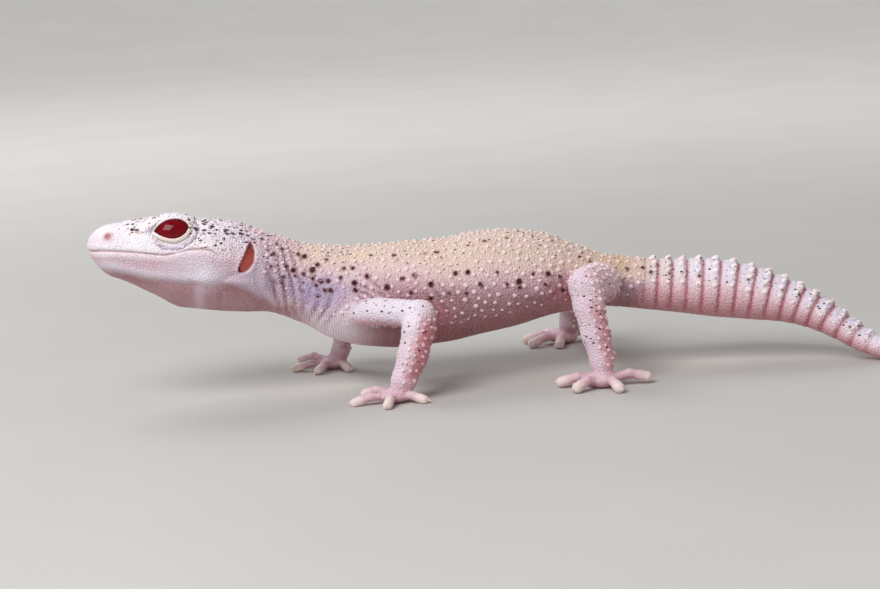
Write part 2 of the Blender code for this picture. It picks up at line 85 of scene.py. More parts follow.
HEAD_YAW, HEAD_ROLL = math.radians(8), math.radians(6)
TURN_FROM, TURN_TO = -42.0, -56.0
TURN_CENTRE = np.array([-54.0, 0.0, 30.0])


def to_metres(points):
    """From the datum's millimetres to metres where the solids lie."""
    return (points - SOLIDS_MIDDLE) * MM


def smooth(start, end, x):
    """0 at start and 1 at end, with level ends: 3t^2 - 2t^3."""
    t = np.clip((x - start) / (end - start), 0, 1)
    return t * t * (3 - 2 * t)


def hill(distance, width):
    """A rounded hill 1 high: e to the minus (distance / width) squared."""
    return np.exp(-((distance / width) ** 2))


def through(xs, ys, x):
    """Cubic curve through a table's points whose slope at each is the harmonic mean of the two beside it."""
    step = np.diff(ys) / np.diff(xs)
    with np.errstate(divide="ignore", invalid="ignore"):
        mean = 2 * step[:-1] * step[1:] / (step[:-1] + step[1:])
    inner = np.where(step[:-1] * step[1:] > 0, mean, 0.0)
    slope = np.concatenate([step[:1], inner, step[-1:]])
    i = np.clip(np.searchsorted(xs, x) - 1, 0, len(xs) - 2)
    width = xs[i + 1] - xs[i]
    t = (x - xs[i]) / width
    start = (2 * t**3 - 3 * t**2 + 1) * ys[i] + (t**3 - 2 * t**2 + t) * width * slope[i]
    end = (3 * t**2 - 2 * t**3) * ys[i + 1] + (t**3 - t**2) * width * slope[i + 1]
    return start + end


FINE_X = np.linspace(SNOUT, TIP, 1500)
FINE = np.array([through(BODY[:, 0], BODY[:, k], FINE_X) for k in range(8)])
RISE = np.gradient(FINE[:3], FINE_X, axis=1)
lean = smooth(LEAN_FROM, LEAN_TO, FINE_X)
RUN = RISE / np.linalg.norm(RISE, axis=0) * lean + np.array([[1.0], [0.0], [0.0]]) * (1 - lean)
RUN /= np.linalg.norm(RUN, axis=0)


def read(table, x):
    """Values of a fine table of columns at each x."""
    return np.array([np.interp(x, FINE_X, row) for row in table])


def turned(points, first, second, angle):
    """Points turned in the plane of two axes: p to p cos - q sin, and q to q cos + p sin."""
    p, q = points[:, first].copy(), points[:, second].copy()
    points = points.copy()
    points[:, first] = p * np.cos(angle) - q * np.sin(angle)
    points[:, second] = q * np.cos(angle) + p * np.sin(angle)
    return points


def turn_head(points, back=False):
    """The head turn: yaw about Z after roll about X, round the nape, growing along the neck. back undoes it,
    from the share that holds at the straight place, found in four rounds."""
    x = points[:, 0]
    for _ in range(4 if back else 1):
        share = smooth(TURN_FROM, TURN_TO, x)
        yaw, roll = HEAD_YAW * share, -HEAD_ROLL * share
        arm = points - TURN_CENTRE
        if back:
            arm = turned(turned(arm, 0, 1, -yaw), 1, 2, -roll)
        else:
            arm = turned(turned(arm, 1, 2, roll), 0, 1, yaw)
        x = TURN_CENTRE[0] + arm[:, 0]
    return arm + TURN_CENTRE


def turn_with_head(points):
    """Points of the straight head put where the head is, as one stiff piece."""
    return turned(turned(points - TURN_CENTRE, 1, 2, -HEAD_ROLL), 0, 1, HEAD_YAW) + TURN_CENTRE


def section_axes(x):
    """Directions across and above the body's middle line at stations x, square to it, one column each."""
    run = read(RUN, x)
    across = np.stack([-run[1], run[0], np.zeros(len(x))])
    across /= np.linalg.norm(across, axis=0)
    return across, np.cross(run.T, across.T).T


def body_place(straight):
    """Where points of the straightened animal lie on the body: station along it, and distances across and
    above the section's middle. The station is where the section's plane passes through the point, reached in
    six steps along the tail."""
    x = straight[:, 0].copy()
    tail = np.flatnonzero(x > LEAN_FROM - 6)
    if len(tail):
        s = x[tail]
        for _ in range(6):
            inside = np.clip(s, SNOUT, TIP)
            run, rise = read(RUN, inside), read(RISE, inside)
            centre = read(FINE[:3], inside) + rise * (s - inside)
            step = np.sum((straight[tail].T - centre) * run, 0) / np.sum(rise * run, 0)
            s = s + np.clip(step, -6, 6) * 0.8
        x[tail] = s
    inside = np.clip(x, SNOUT, TIP)
    across, over = section_axes(inside)
    offset = straight.T - read(FINE[:3], inside)
    offset[0] = np.where(x < LEAN_FROM, 0.0, offset[0])
    return x, np.sum(offset * across, 0), np.sum(offset * over, 0)


def join(a, b, soft):
    """Smooth lesser of two fields: the fillet is about soft wide."""
    h = np.maximum(soft - np.abs(a - b), 0) / soft
    return np.minimum(a, b) - h * h * soft / 4


# The eyeballs lie in mounds at the sides of the head. Each is an ellipsoid that faces along GAZE.
HEAD_END = -57.0
EYE_CENTRE = np.array([-74.7, 5.4, 36.5])
EYE_HALF = np.array([4.25, 3.6, 3.85])  # half its length and height, and its half depth along the gaze
BALL_HALF = np.array([4.9, 3.75, 3.85])  # the eyeball itself, flatter than its mound
GAZE = np.array([-0.10, 0.94, 0.31])
LID = 0.42  # how far the lids stand off the eyeball


def eye_axes(side):
    """Rows: along the gap between the lids towards the tail, up, and out of the eye, on that side."""
    out = GAZE * (1, side, 1) / np.linalg.norm(GAZE)
    along = np.array([1.0, 0.0, 0.0]) - out * out[0]
    along /= np.linalg.norm(along)
    return np.array([along, np.cross(along, out) * side, out])


def eye_place(straight, side):
    """Points of the straight head in the eye's own axes, in mm from its middle."""
    return (straight - EYE_CENTRE * (1, side, 1)) @ eye_axes(side).T


def body_field(points):
    """Roughly the distance outside the body's skin, in mm: a superellipse round each section, and at the
    snout and tail tip an ellipsoid, so (root of (section share squared + end share squared) - 1) times the
    radius. The eye mounds are joined to it."""
    straight = turn_head(points, back=True)
    x, across, above = body_place(straight)
    up, down, half, upper, lower = read(FINE[3:], np.clip(x, SNOUT, TIP))
    height, power = np.where(above > 0, up, down), np.where(above > 0, upper, lower)
    share = (np.abs(across / half) ** power + np.abs(above / height) ** power) ** (1 / power)
    end = np.maximum(1 - (x - SNOUT) / SNOUT_ROUNDING, 0) + np.maximum(1 - (TIP - x) / TIP_ROUNDING, 0)
    size = np.where(share > 0.3, np.hypot(across, above) / np.maximum(share, 0.3), np.minimum(height, half))
    field = (np.sqrt(share**2 + end**2) - 1) * size + SKIN_INSET
    head = np.flatnonzero(straight[:, 0] < HEAD_END)
    for side in (-1, 1):
        mound = np.linalg.norm(eye_place(straight[head], side) / (EYE_HALF + LID), axis=1)
        field[head] = join(field[head], (mound - 1) * EYE_HALF[2], 3.2)
    return field


# ============================================================ legs and feet
# Each leg is an upper and a lower length of flesh and bone under the same skin, and a foot with a flat palm
# and five plump toes. Chains run from inside the trunk to the wrist or ankle: (x, y, z, radius).
LIMBS = {
    "forefoot_left": [
        (-38.0, -5.0, 17.6, 4.4),
        (-31.0, -11.6, 17.9, 3.2),
        (-22.0, -16.4, 17.4, 3.3),  # elbow
        (-22.6, -18.2, 14.6, 3.7),
        (-24.2, -20.2, 9.4, 3.4),
        (-26.4, -21.6, 4.6, 2.8),  # wrist
    ],
    "forefoot_right": [
        (-37.5, 5.0, 17.6, 4.2),
        (-38.2, 11.6, 17.9, 3.2),
        (-38.6, 16.2, 16.2, 3.1),
        (-39.2, 17.0, 12.6, 3.0),
        (-40.2, 17.7, 8.2, 2.5),
        (-41.2, 18.0, 4.4, 2.2),
    ],
    "hindfoot_left": [
        (18.5, -2.0, 19.0, 4.4),
        (15.6, -10.0, 20.8, 4.2),
        (13.4, -15.4, 21.4, 3.9),  # knee
        (13.7, -17.0, 17.0, 3.5),
        (14.7, -18.4, 11.0, 3.2),
        (15.8, -19.2, 5.6, 2.8),  # ankle
    ],
    "hindfoot_right": [
        (18.5, 6.0, 19.0, 4.4),
        (15.4, 14.4, 20.0, 4.1),
        (13.0, 21.2, 19.8, 3.7),
        (12.9, 24.0, 15.8, 3.4),
        (12.8, 27.2, 10.4, 3.1),
        (12.6, 29.6, 5.4, 2.7),
    ],
}
# Each foot: its palm's centre, half sizes, the girth of its toes, and each toe's place and height of arch.
FEET = {
    "forefoot_left": (
        (-28.2, -22.2, 1.5),
        (3.3, 2.8, 1.6),
        0.85,
        [(-26.6, -16.8, 1), (-34.8, -18, 1.9), (-36.9, -23.4, 1.2), (-30, -28.2, 1.2), (-22.4, -24.8, 1.1)],
    ),
    "forefoot_right": (
        (-43.0, 18.2, 1.5),
        (3.1, 2.6, 1.6),
        0.8,
        [(-39.4, 13.4, 1.2), (-46.4, 12.8, 1.2), (-51.6, 17.4, 1.2), (-50.6, 23.0, 2.2), (-43.6, 24.2, 1.4)],
    ),
    "hindfoot_left": (
        (15.6, -20.3, 1.6),
        (3.5, 3.0, 1.8),
        0.95,
        [(12.0, -14.6, 1.2), (7.0, -18.4, 1.8), (9.9, -24.8, 1.7), (18.4, -27.2, 1.6), (25.0, -19.4, 2.0)],
    ),
    "hindfoot_right": (
        (11.0, 31.0, 1.6),
        (3.5, 3.0, 1.8),
        0.95,
        [(9.4, 24.8, 1.2), (3.4, 27.2, 1.6), (2.4, 32.6, 1.6), (7.2, 37.8, 1.6), (17.0, 35.8, 1.6)],
    ),
}
TOE_TIP_LEVEL = 0.75
TOE_TAPER = np.array([1.12, 0.96, 1.04, 1.30])


def toe_path(palm, tip):
    """A toe's centre line: out of the palm, over its arch and down to the tip."""
    start, end = np.array(palm), np.array([tip[0], tip[1], TOE_TIP_LEVEL + max(tip[2] - 1.3, 0) * 1.1])
    middle = start + (end - start) * 0.62
    middle[2] = tip[2] + 0.5
    return np.array([start, middle, middle + (end - middle) * 0.6, end])


def chain_field(points, path, radii):
    """Distance outside a chain of tapering round lengths, joined smoothly."""
    field = None
    for a, b, ra, rb in zip(path, path[1:], radii, radii[1:]):
        run = b - a
        t = np.clip((points - a) @ run / (run @ run), 0, 1)
        length = np.linalg.norm(points - a - t[:, None] * run, axis=1) - (ra + (rb - ra) * t)
        field = length if field is None else join(field, length, 0.8)
    return field


def limb_field(points, name):
    """One leg with its foot."""
    chain = np.array(LIMBS[name])
    field = chain_field(points, chain[:, :3], chain[:, 3] - SKIN_INSET)
    palm, half, girth, tips = FEET[name]
    half = np.array(half) - SKIN_INSET * 0.5
    foot = (np.linalg.norm((points - palm) / half, axis=1) - 1) * half.min()
    heel = np.array([chain[-1, :3], np.array(palm) + (0, 0, 0.5)])
    foot = join(foot, chain_field(points, heel, np.array([chain[-1, 3] - SKIN_INSET, 1.4])), 1.2)
    for tip in tips:
        foot = join(foot, chain_field(points, toe_path(palm, tip), girth * TOE_TAPER - 0.05), 0.45)
    return join(field, foot, 1.0)


def near_limb(points, name, reach):
    """Indices of points above the rectangle of ground that a leg and its foot cover."""
    chain, tips = np.array(LIMBS[name]), np.array(FEET[name][3])
    low = np.minimum(chain[:, :2].min(0), tips[:, :2].min(0)) - reach
    high = np.maximum(chain[:, :2].max(0), tips[:, :2].max(0)) + reach
    return np.flatnonzero(np.all((points[:, :2] > low) & (points[:, :2] < high), axis=1))


FILLETS = {"fore": 1.0, "hind": 1.3}  # how broad the fillet is where each pair of legs joins the body


def skin_field(points):
    """The whole animal: body and legs joined with fillets, flattened where it stands on the ground."""
    field = body_field(points)
    for name in LIMBS:
        near = near_limb(points, name, 7)
        if len(near):
            field[near] = join(field[near], limb_field(points[near], name), FILLETS[name[:4]])
    return np.maximum(field, -points[:, 2])


# ------------------------------------------------------------ the skin's mesh
# The skin's surface is where its field is zero. It is netted on a grid of GRID mm, evened out and settled
# back onto the field, and split finer where it has small forms.
GRID = 0.7


def surface_nets(low, high, step, field, chunk=400000):
    """Quads round the zero level of a field: one vertex in each grid cell that the level passes through, at
    the mean of its crossings, and one quad for each grid edge that it crosses."""
    count = np.ceil((high - low) / step).astype(int) + 1
    axes = [low[a] + step * np.arange(count[a]) for a in range(3)]
    values = np.empty(count)
    rows = max(1, chunk // (count[1] * count[2]))
    for i in range(0, count[0], rows):
        block = np.stack(np.meshgrid(axes[0][i : i + rows], axes[1], axes[2], indexing="ij"), -1)
        values[i : i + rows] = field(block.reshape(-1, 3)).reshape(block.shape[:3])
    inside = values < 0
    corners = [(i, j, k) for i in (0, 1) for j in (0, 1) for k in (0, 1)]
    cut = [tuple(slice(o, n - 1 + o) for o, n in zip(c, count)) for c in corners]
    total = sum(inside[c].astype(np.int8) for c in cut)
    cells = np.argwhere((total > 0) & (total < 8))
    number = np.full(count - 1, -1)
    number[tuple(cells.T)] = np.arange(len(cells))
    at = np.array([values[tuple((cells + c).T)] for c in corners]).T
    place, hits = np.zeros((len(cells), 3)), np.zeros(len(cells))
    for p, a in enumerate(corners):
        for q, b in enumerate(corners):
            if q > p and sum(abs(x - y) for x, y in zip(a, b)) == 1:
                crossed = (at[:, p] < 0) != (at[:, q] < 0)
                t = at[:, p] / np.where(crossed, at[:, p] - at[:, q], 1.0)
                spot = np.array(a) + t[:, None] * (np.array(b) - np.array(a))
                place += np.where(crossed[:, None], spot, 0)
                hits += crossed
    vertices = low + (cells + place / hits[:, None]) * step
    quads = []
    for axis in range(3):
        one = np.eye(3, dtype=int)[axis]
        side, rise = np.eye(3, dtype=int)[(axis + 1) % 3], np.eye(3, dtype=int)[(axis + 2) % 3]
        a = inside[tuple(slice(0, n - o) for n, o in zip(count, one))]
        b = inside[tuple(slice(o, n) for n, o in zip(count, one))]
        for crossing, way in ((a & ~b, 1), (~a & b, -1)):
            edge = np.argwhere(crossing)
            edge = edge[np.all((edge > 0)[:, [(axis + 1) % 3, (axis + 2) % 3]], axis=1)]
            ring = [edge - side - rise, edge - rise, edge, edge - side][::way]
            quads.append(np.stack([number[tuple(c.T)] for c in ring], 1))
    return vertices, np.concatenate(quads)


def slope_of(field, points, step=0.02):
    """A field's value, unit slope and steepness at each point, by small steps along the three axes."""
    value = field(points)
    slope = np.stack([field(points + step * axis) - value for axis in np.eye(3)], 1) / step
    size = np.linalg.norm(slope, axis=1)
    return value, slope / np.maximum(size, 1e-9)[:, None], size


def settle(points, field, rounds=3):
    """Points moved onto the field's zero level by Newton's steps."""
    for _ in range(rounds):
        value, way, size = slope_of(field, points)
        points = points - way * np.clip(value / np.maximum(size, 0.3), -0.4, 0.4)[:, None]
    return points


def relax(points, quads, rounds=2):
    """Each point moved half way to the mean of its neighbours along the quads' sides."""
    a, b = quads.ravel(), np.roll(quads, -1, axis=1).ravel()
    count = np.bincount(a, minlength=len(points)) + np.bincount(b, minlength=len(points))
    for _ in range(rounds):
        total = np.zeros_like(points)
        for k in range(3):
            total[:, k] = np.bincount(a, points[b, k], len(points))
            total[:, k] += np.bincount(b, points[a, k], len(points))
        points = points * 0.5 + total / np.maximum(count, 1)[:, None] * 0.5
    return points


def split_quads(points, quads, chosen):
    """Chosen quads cut into four round their middles. Quads beside them get the new points in their sides, so
    the surface has no cracks. Gives points, quads, and those beside as rows of eight with -1 for no point."""
    after = np.roll(quads, -1, axis=1)
    key = np.minimum(quads, after) * len(points) + np.maximum(quads, after)
    cut = np.unique(key[chosen])
    halves = (points[cut // len(points)] + points[cut % len(points)]) / 2
    middles = points[quads[chosen]].mean(axis=1)
    place = np.clip(np.searchsorted(cut, key), 0, len(cut) - 1)
    half = np.where(cut[place] == key, len(points) + place, -1)
    middle = len(points) + len(cut) + np.arange(chosen.sum())
    parts = [np.stack([quads[chosen, k], half[chosen, k], middle, half[chosen, k - 1]], 1) for k in range(4)]
    kept = ~chosen & np.all(half < 0, axis=1)
    beside = ~chosen & ~kept
    rows = np.stack([quads[beside], half[beside]], 2).reshape(-1, 8)
    return np.concatenate([points, halves, middles]), np.concatenate([quads[kept], *parts]), rows


LOW, HIGH = np.array([-95.5, -29.5, -0.9]), np.array([95.5, 41.0, 43.0])  # the animal's box, and some room
points, quads = surface_nets(LOW, HIGH, GRID, skin_field)
points = settle(points, skin_field, 2)
points = settle(relax(points, quads), skin_field, 1)

# ------------------------------------------------------------ openings of the head
# The outlines are drawn on the straight head, in mm: the gap between the lids in the eye's own axes, and the
# ear's and the mouth's in side view.
MOUTH = np.array(
    [(-93.3, 34.2), (-88.6, 33.9), (-84.3, 33.35), (-80.2, 32.7), (-77.1, 32.2)]
    + [(-74.3, 32.5), (-71.7, 32.9), (-69.6, 32.85), (-67.5, 32.4), (-65.6, 31.0)]
)
MOUTH_CORNER = MOUTH[-1, 0]
NOSTRIL = np.array([-88.6, 6.4, 36.9])
EAR_TOP, EAR_BOTTOM, EAR_HALF_WIDTH = np.array([-58.5, 33.5]), np.array([-61.6, 27.1]), 1.32
EAR_SIDE = 11.6  # how far the ears lie from the head's middle
LID_GAP = (-3.9, 3.6, 0.1, 0.3)  # its two corners along the eye, and the height of each
FAR = 9.0  # stands for any distance that is too far to matter


def gap_outline(count=160):
    """The gap between the lids: from a sharp front corner over a high arch to the blunt rear corner and back
    along the lower lid. Height over the line between the corners is a power of 1 - t times one of 1 + t."""
    front, rear, front_level, rear_level = LID_GAP
    t = np.cos(np.linspace(math.pi, 0, count // 2))
    x = (front + rear) / 2 + t * (rear - front) / 2
    level = front_level + (rear_level - front_level) * (t + 1) / 2
    arch = 2.05 * (1 - t) ** 0.6 * (1 + t) ** 0.78
    sag = 2.4 * (1 - t) ** 0.62 * (1 + t) ** 0.86
    return np.concatenate([np.stack([x, level + arch], 1), np.stack([x, level - sag], 1)[::-1][1:-1]])


def ear_outline(count=80):
    """The ear opening: a long drop that leans back, wider below. Half width is root(1 - t squared) times a
    taper along its line."""
    t = np.cos(np.linspace(math.pi, 0, count // 2))[:, None]
    line = (EAR_TOP + EAR_BOTTOM) / 2 + t * (EAR_TOP - EAR_BOTTOM) / 2
    way = (EAR_TOP - EAR_BOTTOM) / np.linalg.norm(EAR_TOP - EAR_BOTTOM)
    across = np.array([way[1], -way[0]])
    wide = EAR_HALF_WIDTH * np.sqrt(1 - t**2) * (1 - 0.28 * t)
    bow = 0.75 * (1 - t**2)
    return np.concatenate([line + across * (bow + wide), (line + across * (bow - wide))[::-1][1:-1]])


def outline_distance(places, outline):
    """Distance of flat places outside an outline, negative within: the nearest of its sides, with the sign
    from whether a ray crosses the outline an odd number of times."""
    a, b = outline, np.roll(outline, -1, axis=0)
    run = b - a
    arm = places[:, None] - a[None]
    t = np.clip(np.sum(arm * run, 2) / np.maximum(np.sum(run * run, 1), 1e-12), 0, 1)
    nearest = np.linalg.norm(arm - t[..., None] * run, axis=2).min(axis=1)
    y = places[:, 1:2]
    crosses = (a[:, 1] > y) != (b[:, 1] > y)
    rise = np.where(np.abs(run[:, 1]) < 1e-9, 1e-9, run[:, 1])
    ahead = places[:, :1] < a[:, 0] + (y - a[:, 1]) / rise * run[:, 0]
    within = np.sum(crosses & ahead, axis=1) % 2 == 1
    return np.where(within, -nearest, nearest)


def lid_distance(straight, side):
    """Distance outside the gap between the lids, over the front of the eye; FAR elsewhere."""
    place = eye_place(straight, side)
    distance = np.full(len(straight), FAR)
    near = np.flatnonzero((place[:, 2] > 0.2) & (np.abs(place[:, 0]) < 7) & (np.abs(place[:, 1]) < 6))
    distance[near] = outline_distance(place[near, :2], gap_outline())
    return distance


def ear_distance(straight):
    """Distance outside the ear's opening in side view; FAR away from the sides of the head."""
    distance = np.full(len(straight), FAR)
    near = np.flatnonzero((np.abs(straight[:, 1]) > 6) & (np.abs(straight[:, 0] + 60) < 5))
    distance[near] = outline_distance(straight[near][:, [0, 2]], ear_outline())
    return distance


def mouth_height(straight):
    """Height above the line of the closed mouth."""
    x = np.clip(straight[:, 0], MOUTH[0, 0], MOUTH[-1, 0])
    return straight[:, 2] - through(MOUTH[:, 0], MOUTH[:, 1], x)


def mirrored(straight):
    """Places on either side of the straight animal as they lie on the side towards +Y."""
    return straight * (1, 0, 1) + np.abs(straight) * (0, 1, 0)


WHORLS_FROM, WHORLS_TO = 27.0, 78.0  # the tail's rings
# Finer mesh on the head, feet and ringed tail, and again round the eyes, ears, nostrils and mouth.
places = points[quads].mean(axis=1)
straight = turn_head(places, back=True)
feet = np.zeros(len(quads), bool)
for name in FEET:
    feet[near_limb(places, name, 2)] = True
feet &= (places[:, 2] < 5.0) & (places[:, 0] < 60)
whorls = (straight[:, 0] > WHORLS_FROM - 2) & (straight[:, 0] < WHORLS_TO)
points, quads, seam = split_quads(points, quads, (straight[:, 0] < -56.5) | feet | whorls)
points = settle(points, skin_field, 2)
straight = turn_head(points[quads].mean(axis=1), back=True)
eyes = np.minimum(lid_distance(straight, -1), lid_distance(straight, 1)) < 1.3
mouth = (np.abs(mouth_height(straight)) < 0.75) & (straight[:, 0] < MOUTH_CORNER + 0.6)
nostrils = np.linalg.norm(mirrored(straight) - NOSTRIL, axis=1) < 1.4
fine = eyes | mouth | nostrils | (np.abs(ear_distance(straight)) < 0.9)
fine &= straight[:, 0] < -57.6
points, quads, fine_seam = split_quads(points, quads, fine)
points = settle(points, skin_field, 2)

# ------------------------------------------------------------ folds, lids, lips and rings
# Soft skin creases where the animal bends, its lips and lids are firm rims, and its tail is ringed. These
# fine forms are cut and raised on the settled skin, along its own normals, in mm.


def rumple(points, size, seed):
    """Smooth noise from -1 to 1: random values on a cubic lattice of that size, blended with 3t^2 - 2t^3."""
    place = points / size + 64.0
    cell = np.floor(place).astype(int)
    t = place - cell
    t = t * t * (3 - 2 * t)
    table = np.random.default_rng(seed).uniform(-1, 1, (32, 32, 32))
    total = np.zeros(len(points))
    for i in (0, 1):
        for j in (0, 1):
            for k in (0, 1):
                weight = np.prod(np.where(np.array([i, j, k]) == 1, t, 1 - t), axis=1)
                total += weight * table[tuple(((cell + (i, j, k)) % 32).T)]
    return total


def creases(points, way, spacing, seed, sway=0.5):
    """Narrow valleys across a direction, 0 to 1: a hill of the distance to the nearest whole number of
    spacings along it, swaying with noise."""
    phase = points @ (np.array(way) / np.linalg.norm(way)) / spacing
    phase += sway * rumple(points, spacing * 2.2, seed)
    return hill(np.abs(phase - np.round(phase)), 0.20)


def bump_at(points, centre, size):
    """A hill round a place, with its own width along each axis."""
    return np.exp(-np.sum(((points - centre) / size) ** 2, axis=1))


# The tail's rings: their least spacing, how much wider they stand at its fattest part, and where that is.
RING_LEAST, RING_SWELL, RING_FATTEST, RING_REACH = 2.75, 0.95, 45.0, 14.0


def ring_spacing(x):
    """How far apart the rings stand: the least and a hill round the tail's fattest part."""
    return RING_LEAST + RING_SWELL * hill(x - RING_FATTEST, RING_REACH)


RING_X = np.linspace(WHORLS_FROM, TIP, 600)
RING_COUNT = np.concatenate([[0], np.cumsum(np.diff(RING_X) / ring_spacing(RING_X[1:]))])


def ring_phase(x):
    """How many rings lie between the tail's first groove and x; whole at each groove."""
    return np.interp(x, RING_X, RING_COUNT, left=-0.5)


# Swellings and dips of the head, alike on both sides: height, middle and reach each way.
HEAD_FORMS = [
    (0.35, (-88.9, 6.4, 37.0), (1.7, 3, 1.4)),  # round the nostril
    (0.30, (-80.6, 8.5, 36.2), (1.7, 3, 2.6)),  # before the eye
    (0.20, (-82.5, 6.5, 38.9), (3.4, 2.4, 1.2)),  # ridge from the snout to the brow
    (0.45, (-66.0, 12, 32.8), (4.0, 5, 3.0)),  # muscle behind the eye
    (-0.30, (-70.2, 9.5, 38.0), (1.6, 3, 1.5)),  # dip behind the lids
    (0.60, (-68.4, 10, 26.8), (2.2, 4, 1.8)),  # pad below the mouth's corner
]
# The edge where the jaw turns under to the throat, in side view.
JAW_X = [-90, -86.6, -80.6, -73.3, -68, -60, -57]
JAW_Z = [30.2, 29.3, 27.5, 26.2, 25.4, 24.1, 21.6]


def head_relief(straight):
    """Lips, nostrils, swellings, jaw edge and throat folds of the straight head, alike on both sides: hills
    of the height over the mouth's line and over the jaw's edge, and the forms above."""
    points = mirrored(straight)
    x, y, z = points.T
    over = mouth_height(points)
    closed = smooth(MOUTH_CORNER + 0.8, MOUTH_CORNER - 1.6, x)
    rise = -0.40 * hill(over, 0.20) + 0.24 * hill(over - 0.95, 0.75)
    rise = (rise + 0.10 * hill(over + 0.95, 0.7)) * closed
    for height, centre, size in HEAD_FORMS:
        rise += height * bump_at(points, centre, size)
    rise -= 0.75 * (1 - smooth(0.25, 0.8, np.linalg.norm(points - NOSTRIL, axis=1)))
    edge = z - np.interp(x, JAW_X, JAW_Z)
    jaw = smooth(-91, -87, x) * smooth(-57.5, -61, x) * smooth(2.5, 5.0, y)
    rise += (0.30 * hill(edge - 0.7, 1.0) - 0.35 * hill(edge + 0.7, 0.8)) * jaw
    rise -= 0.28 * hill(z - 25.6 - 0.35 * (x + 66), 0.7) * bump_at(points, (-64.5, 10, 26), (3.4, 5, 4))
    rise -= 0.22 * hill(x + 66.3 - 0.25 * (z - 20), 0.6) * bump_at(points, (-66, 6, 21.5), (4, 6, 3))
    return rise


def tail_grooves(x, above):
    """How deep a place lies in the grooves between the tail's rings, 0 to 1, and its count along the rings.
    The grooves run out under the tail and towards its tip."""
    beat = ring_phase(x)
    apart = np.abs(beat - np.round(beat)) * ring_spacing(x)
    down = read(FINE[4:5], np.clip(x, SNOUT, TIP))[0]
    ends = smooth(WHORLS_FROM - 1.5, WHORLS_FROM + 2, x) * smooth(WHORLS_TO + 2, WHORLS_TO - 12, x)
    return ends * smooth(-1.0, -0.35, above / down) * hill(apart, 0.44), beat


# Folds: the way across them, their spacing, seed of their noise, middle on the left and on the right side,
# reach and depth.
FOLDS = [
    ((1, 0, 0.16), 2.2, 11, (-51.0, -8, 25), (-51.0, 8, 25), (5.0, 6, 7), 0.75),  # round the neck
    ((1, 0, -0.55), 2.2, 13, (-43.5, -8, 21), (-43.5, 8, 21), (4.0, 6, 5), 0.55),  # down into the breast
    ((0.55, 0, 1), 1.5, 15, (-33.0, -10, 22.3), (-36.0, 10, 22.3), (3.6, 4, 2.4), 0.55),  # over the shoulder
    ((1, 0, 0.5), 1.9, 17, (-17.0, -11, 18), (-27.0, 11, 18), (3.4, 4, 4.0), 0.42),  # behind the arms
    ((1, 0, -0.4), 2.0, 19, (9.0, -9, 20), (9.0, 11, 20), (2.8, 4, 5), 0.45),  # before the thighs
    ((1, 0, 0.1), 1.9, 21, (23.0, -4, 17), (23.0, 6, 17), (3.4, 5, 5), 0.40),  # behind the thighs
]


def folds(straight):
    """Depth of the wrinkles of neck, breast, shoulders and flanks: creases that fade round their middle."""
    total = np.zeros(len(straight))
    for way, spacing, seed, left, right, size, depth in FOLDS:
        for side, centre in enumerate((left, right)):
            total += depth * creases(straight, way, spacing, seed + side) * bump_at(straight, centre, size)
    return total


def body_relief(straight):
    """Folds of the neck, shoulders and flanks, and the rings of the tail: a slow ramp to the rear of each
    ring and a groove after it."""
    x, _, above = body_place(straight)
    groove, beat = tail_grooves(x, above)
    band = smooth(WHORLS_FROM - 1.5, WHORLS_FROM + 2, x) * smooth(WHORLS_TO + 2, WHORLS_TO - 14, x)
    top = smooth(-8, 2, above)
    return 0.36 * band * top * (beat % 1 - 0.4) - (0.40 + 0.14 * top) * groove - folds(straight)


# The skin behind the eyeball and the lids over it, as shares of the eyeball, and the depth of the ear.
UNDER, OVER = 0.93, 1.0 + LID / BALL_HALF[2]
EAR_DEPTH = 0.95


def lower_lid(place):
    """1 below and behind the eye, where the lid is a smooth bare rim; 0 above and before it."""
    return smooth(0.7, -0.5, place[:, 1] - 0.55 * place[:, 0])


def fit_lids(straight, side):
    """Skin drawn onto the eye, along the gaze: behind the eyeball within the gap, then lids that hug it for
    about 1 mm, and a slope up to the cheek. The lids are a larger ellipsoid: half depth times the root of
    (share squared - the place across, in half sizes, squared)."""
    gap = lid_distance(straight, side)
    near = np.flatnonzero(gap < 3.2)
    place, gap = eye_place(straight[near], side), gap[near]
    spread = np.sum((place[:, :2] / BALL_HALF[:2]) ** 2, axis=1)
    lid = np.sqrt(np.maximum(OVER**2 - spread, 0.0)) * BALL_HALF[2]
    lower = lower_lid(place)
    steep = 1.2 + 1.6 * smooth(-2.2, -4.4, place[:, 0])
    lid += 0.10 * lower * hill(gap - 0.38, 0.30)  # the rim
    lid += np.maximum(gap - 0.45 - 0.3 * lower, 0) ** 1.3 * steep
    behind = np.sqrt(np.maximum(UNDER**2 - spread, 0.0)) * BALL_HALF[2]
    height = -join(-join(place[:, 2], lid, 0.25), -(lid - 0.30) * smooth(1.3, 0.4, gap), 0.15)
    groove = 0.22 * hill(gap - 0.84, 0.17) * lower
    inside = smooth(0.05, -0.22, gap)
    place[:, 2] = (height - groove) * (1 - inside) + behind * inside
    straight[near] = place @ eye_axes(side) + EYE_CENTRE * (1, side, 1)


def sculpt(points):
    """Settled places on the skin with its fine forms: moved along its normals, and drawn round the eyes."""
    _, ways, _ = slope_of(skin_field, points)
    straight = turn_head(points, back=True)
    ear = ear_distance(straight)
    rise = smooth(1.6, 0.2, body_field(points)) * body_relief(straight)  # it fades out on the legs
    rise += smooth(HEAD_END, HEAD_END - 2, straight[:, 0]) * head_relief(straight)
    rise -= EAR_DEPTH * smooth(0.12, -0.42, ear)
    rise += 0.12 * hill(ear - 0.45, 0.4)  # the ear's rim
    points = points + ways * rise[:, None]
    straight = turn_head(points, back=True)
    head = np.flatnonzero(straight[:, 0] < HEAD_END)
    eyes = straight[head]
    for side in (-1, 1):
        fit_lids(eyes, side)
    points[head] = turn_with_head(eyes)
    return points


points = sculpt(points)

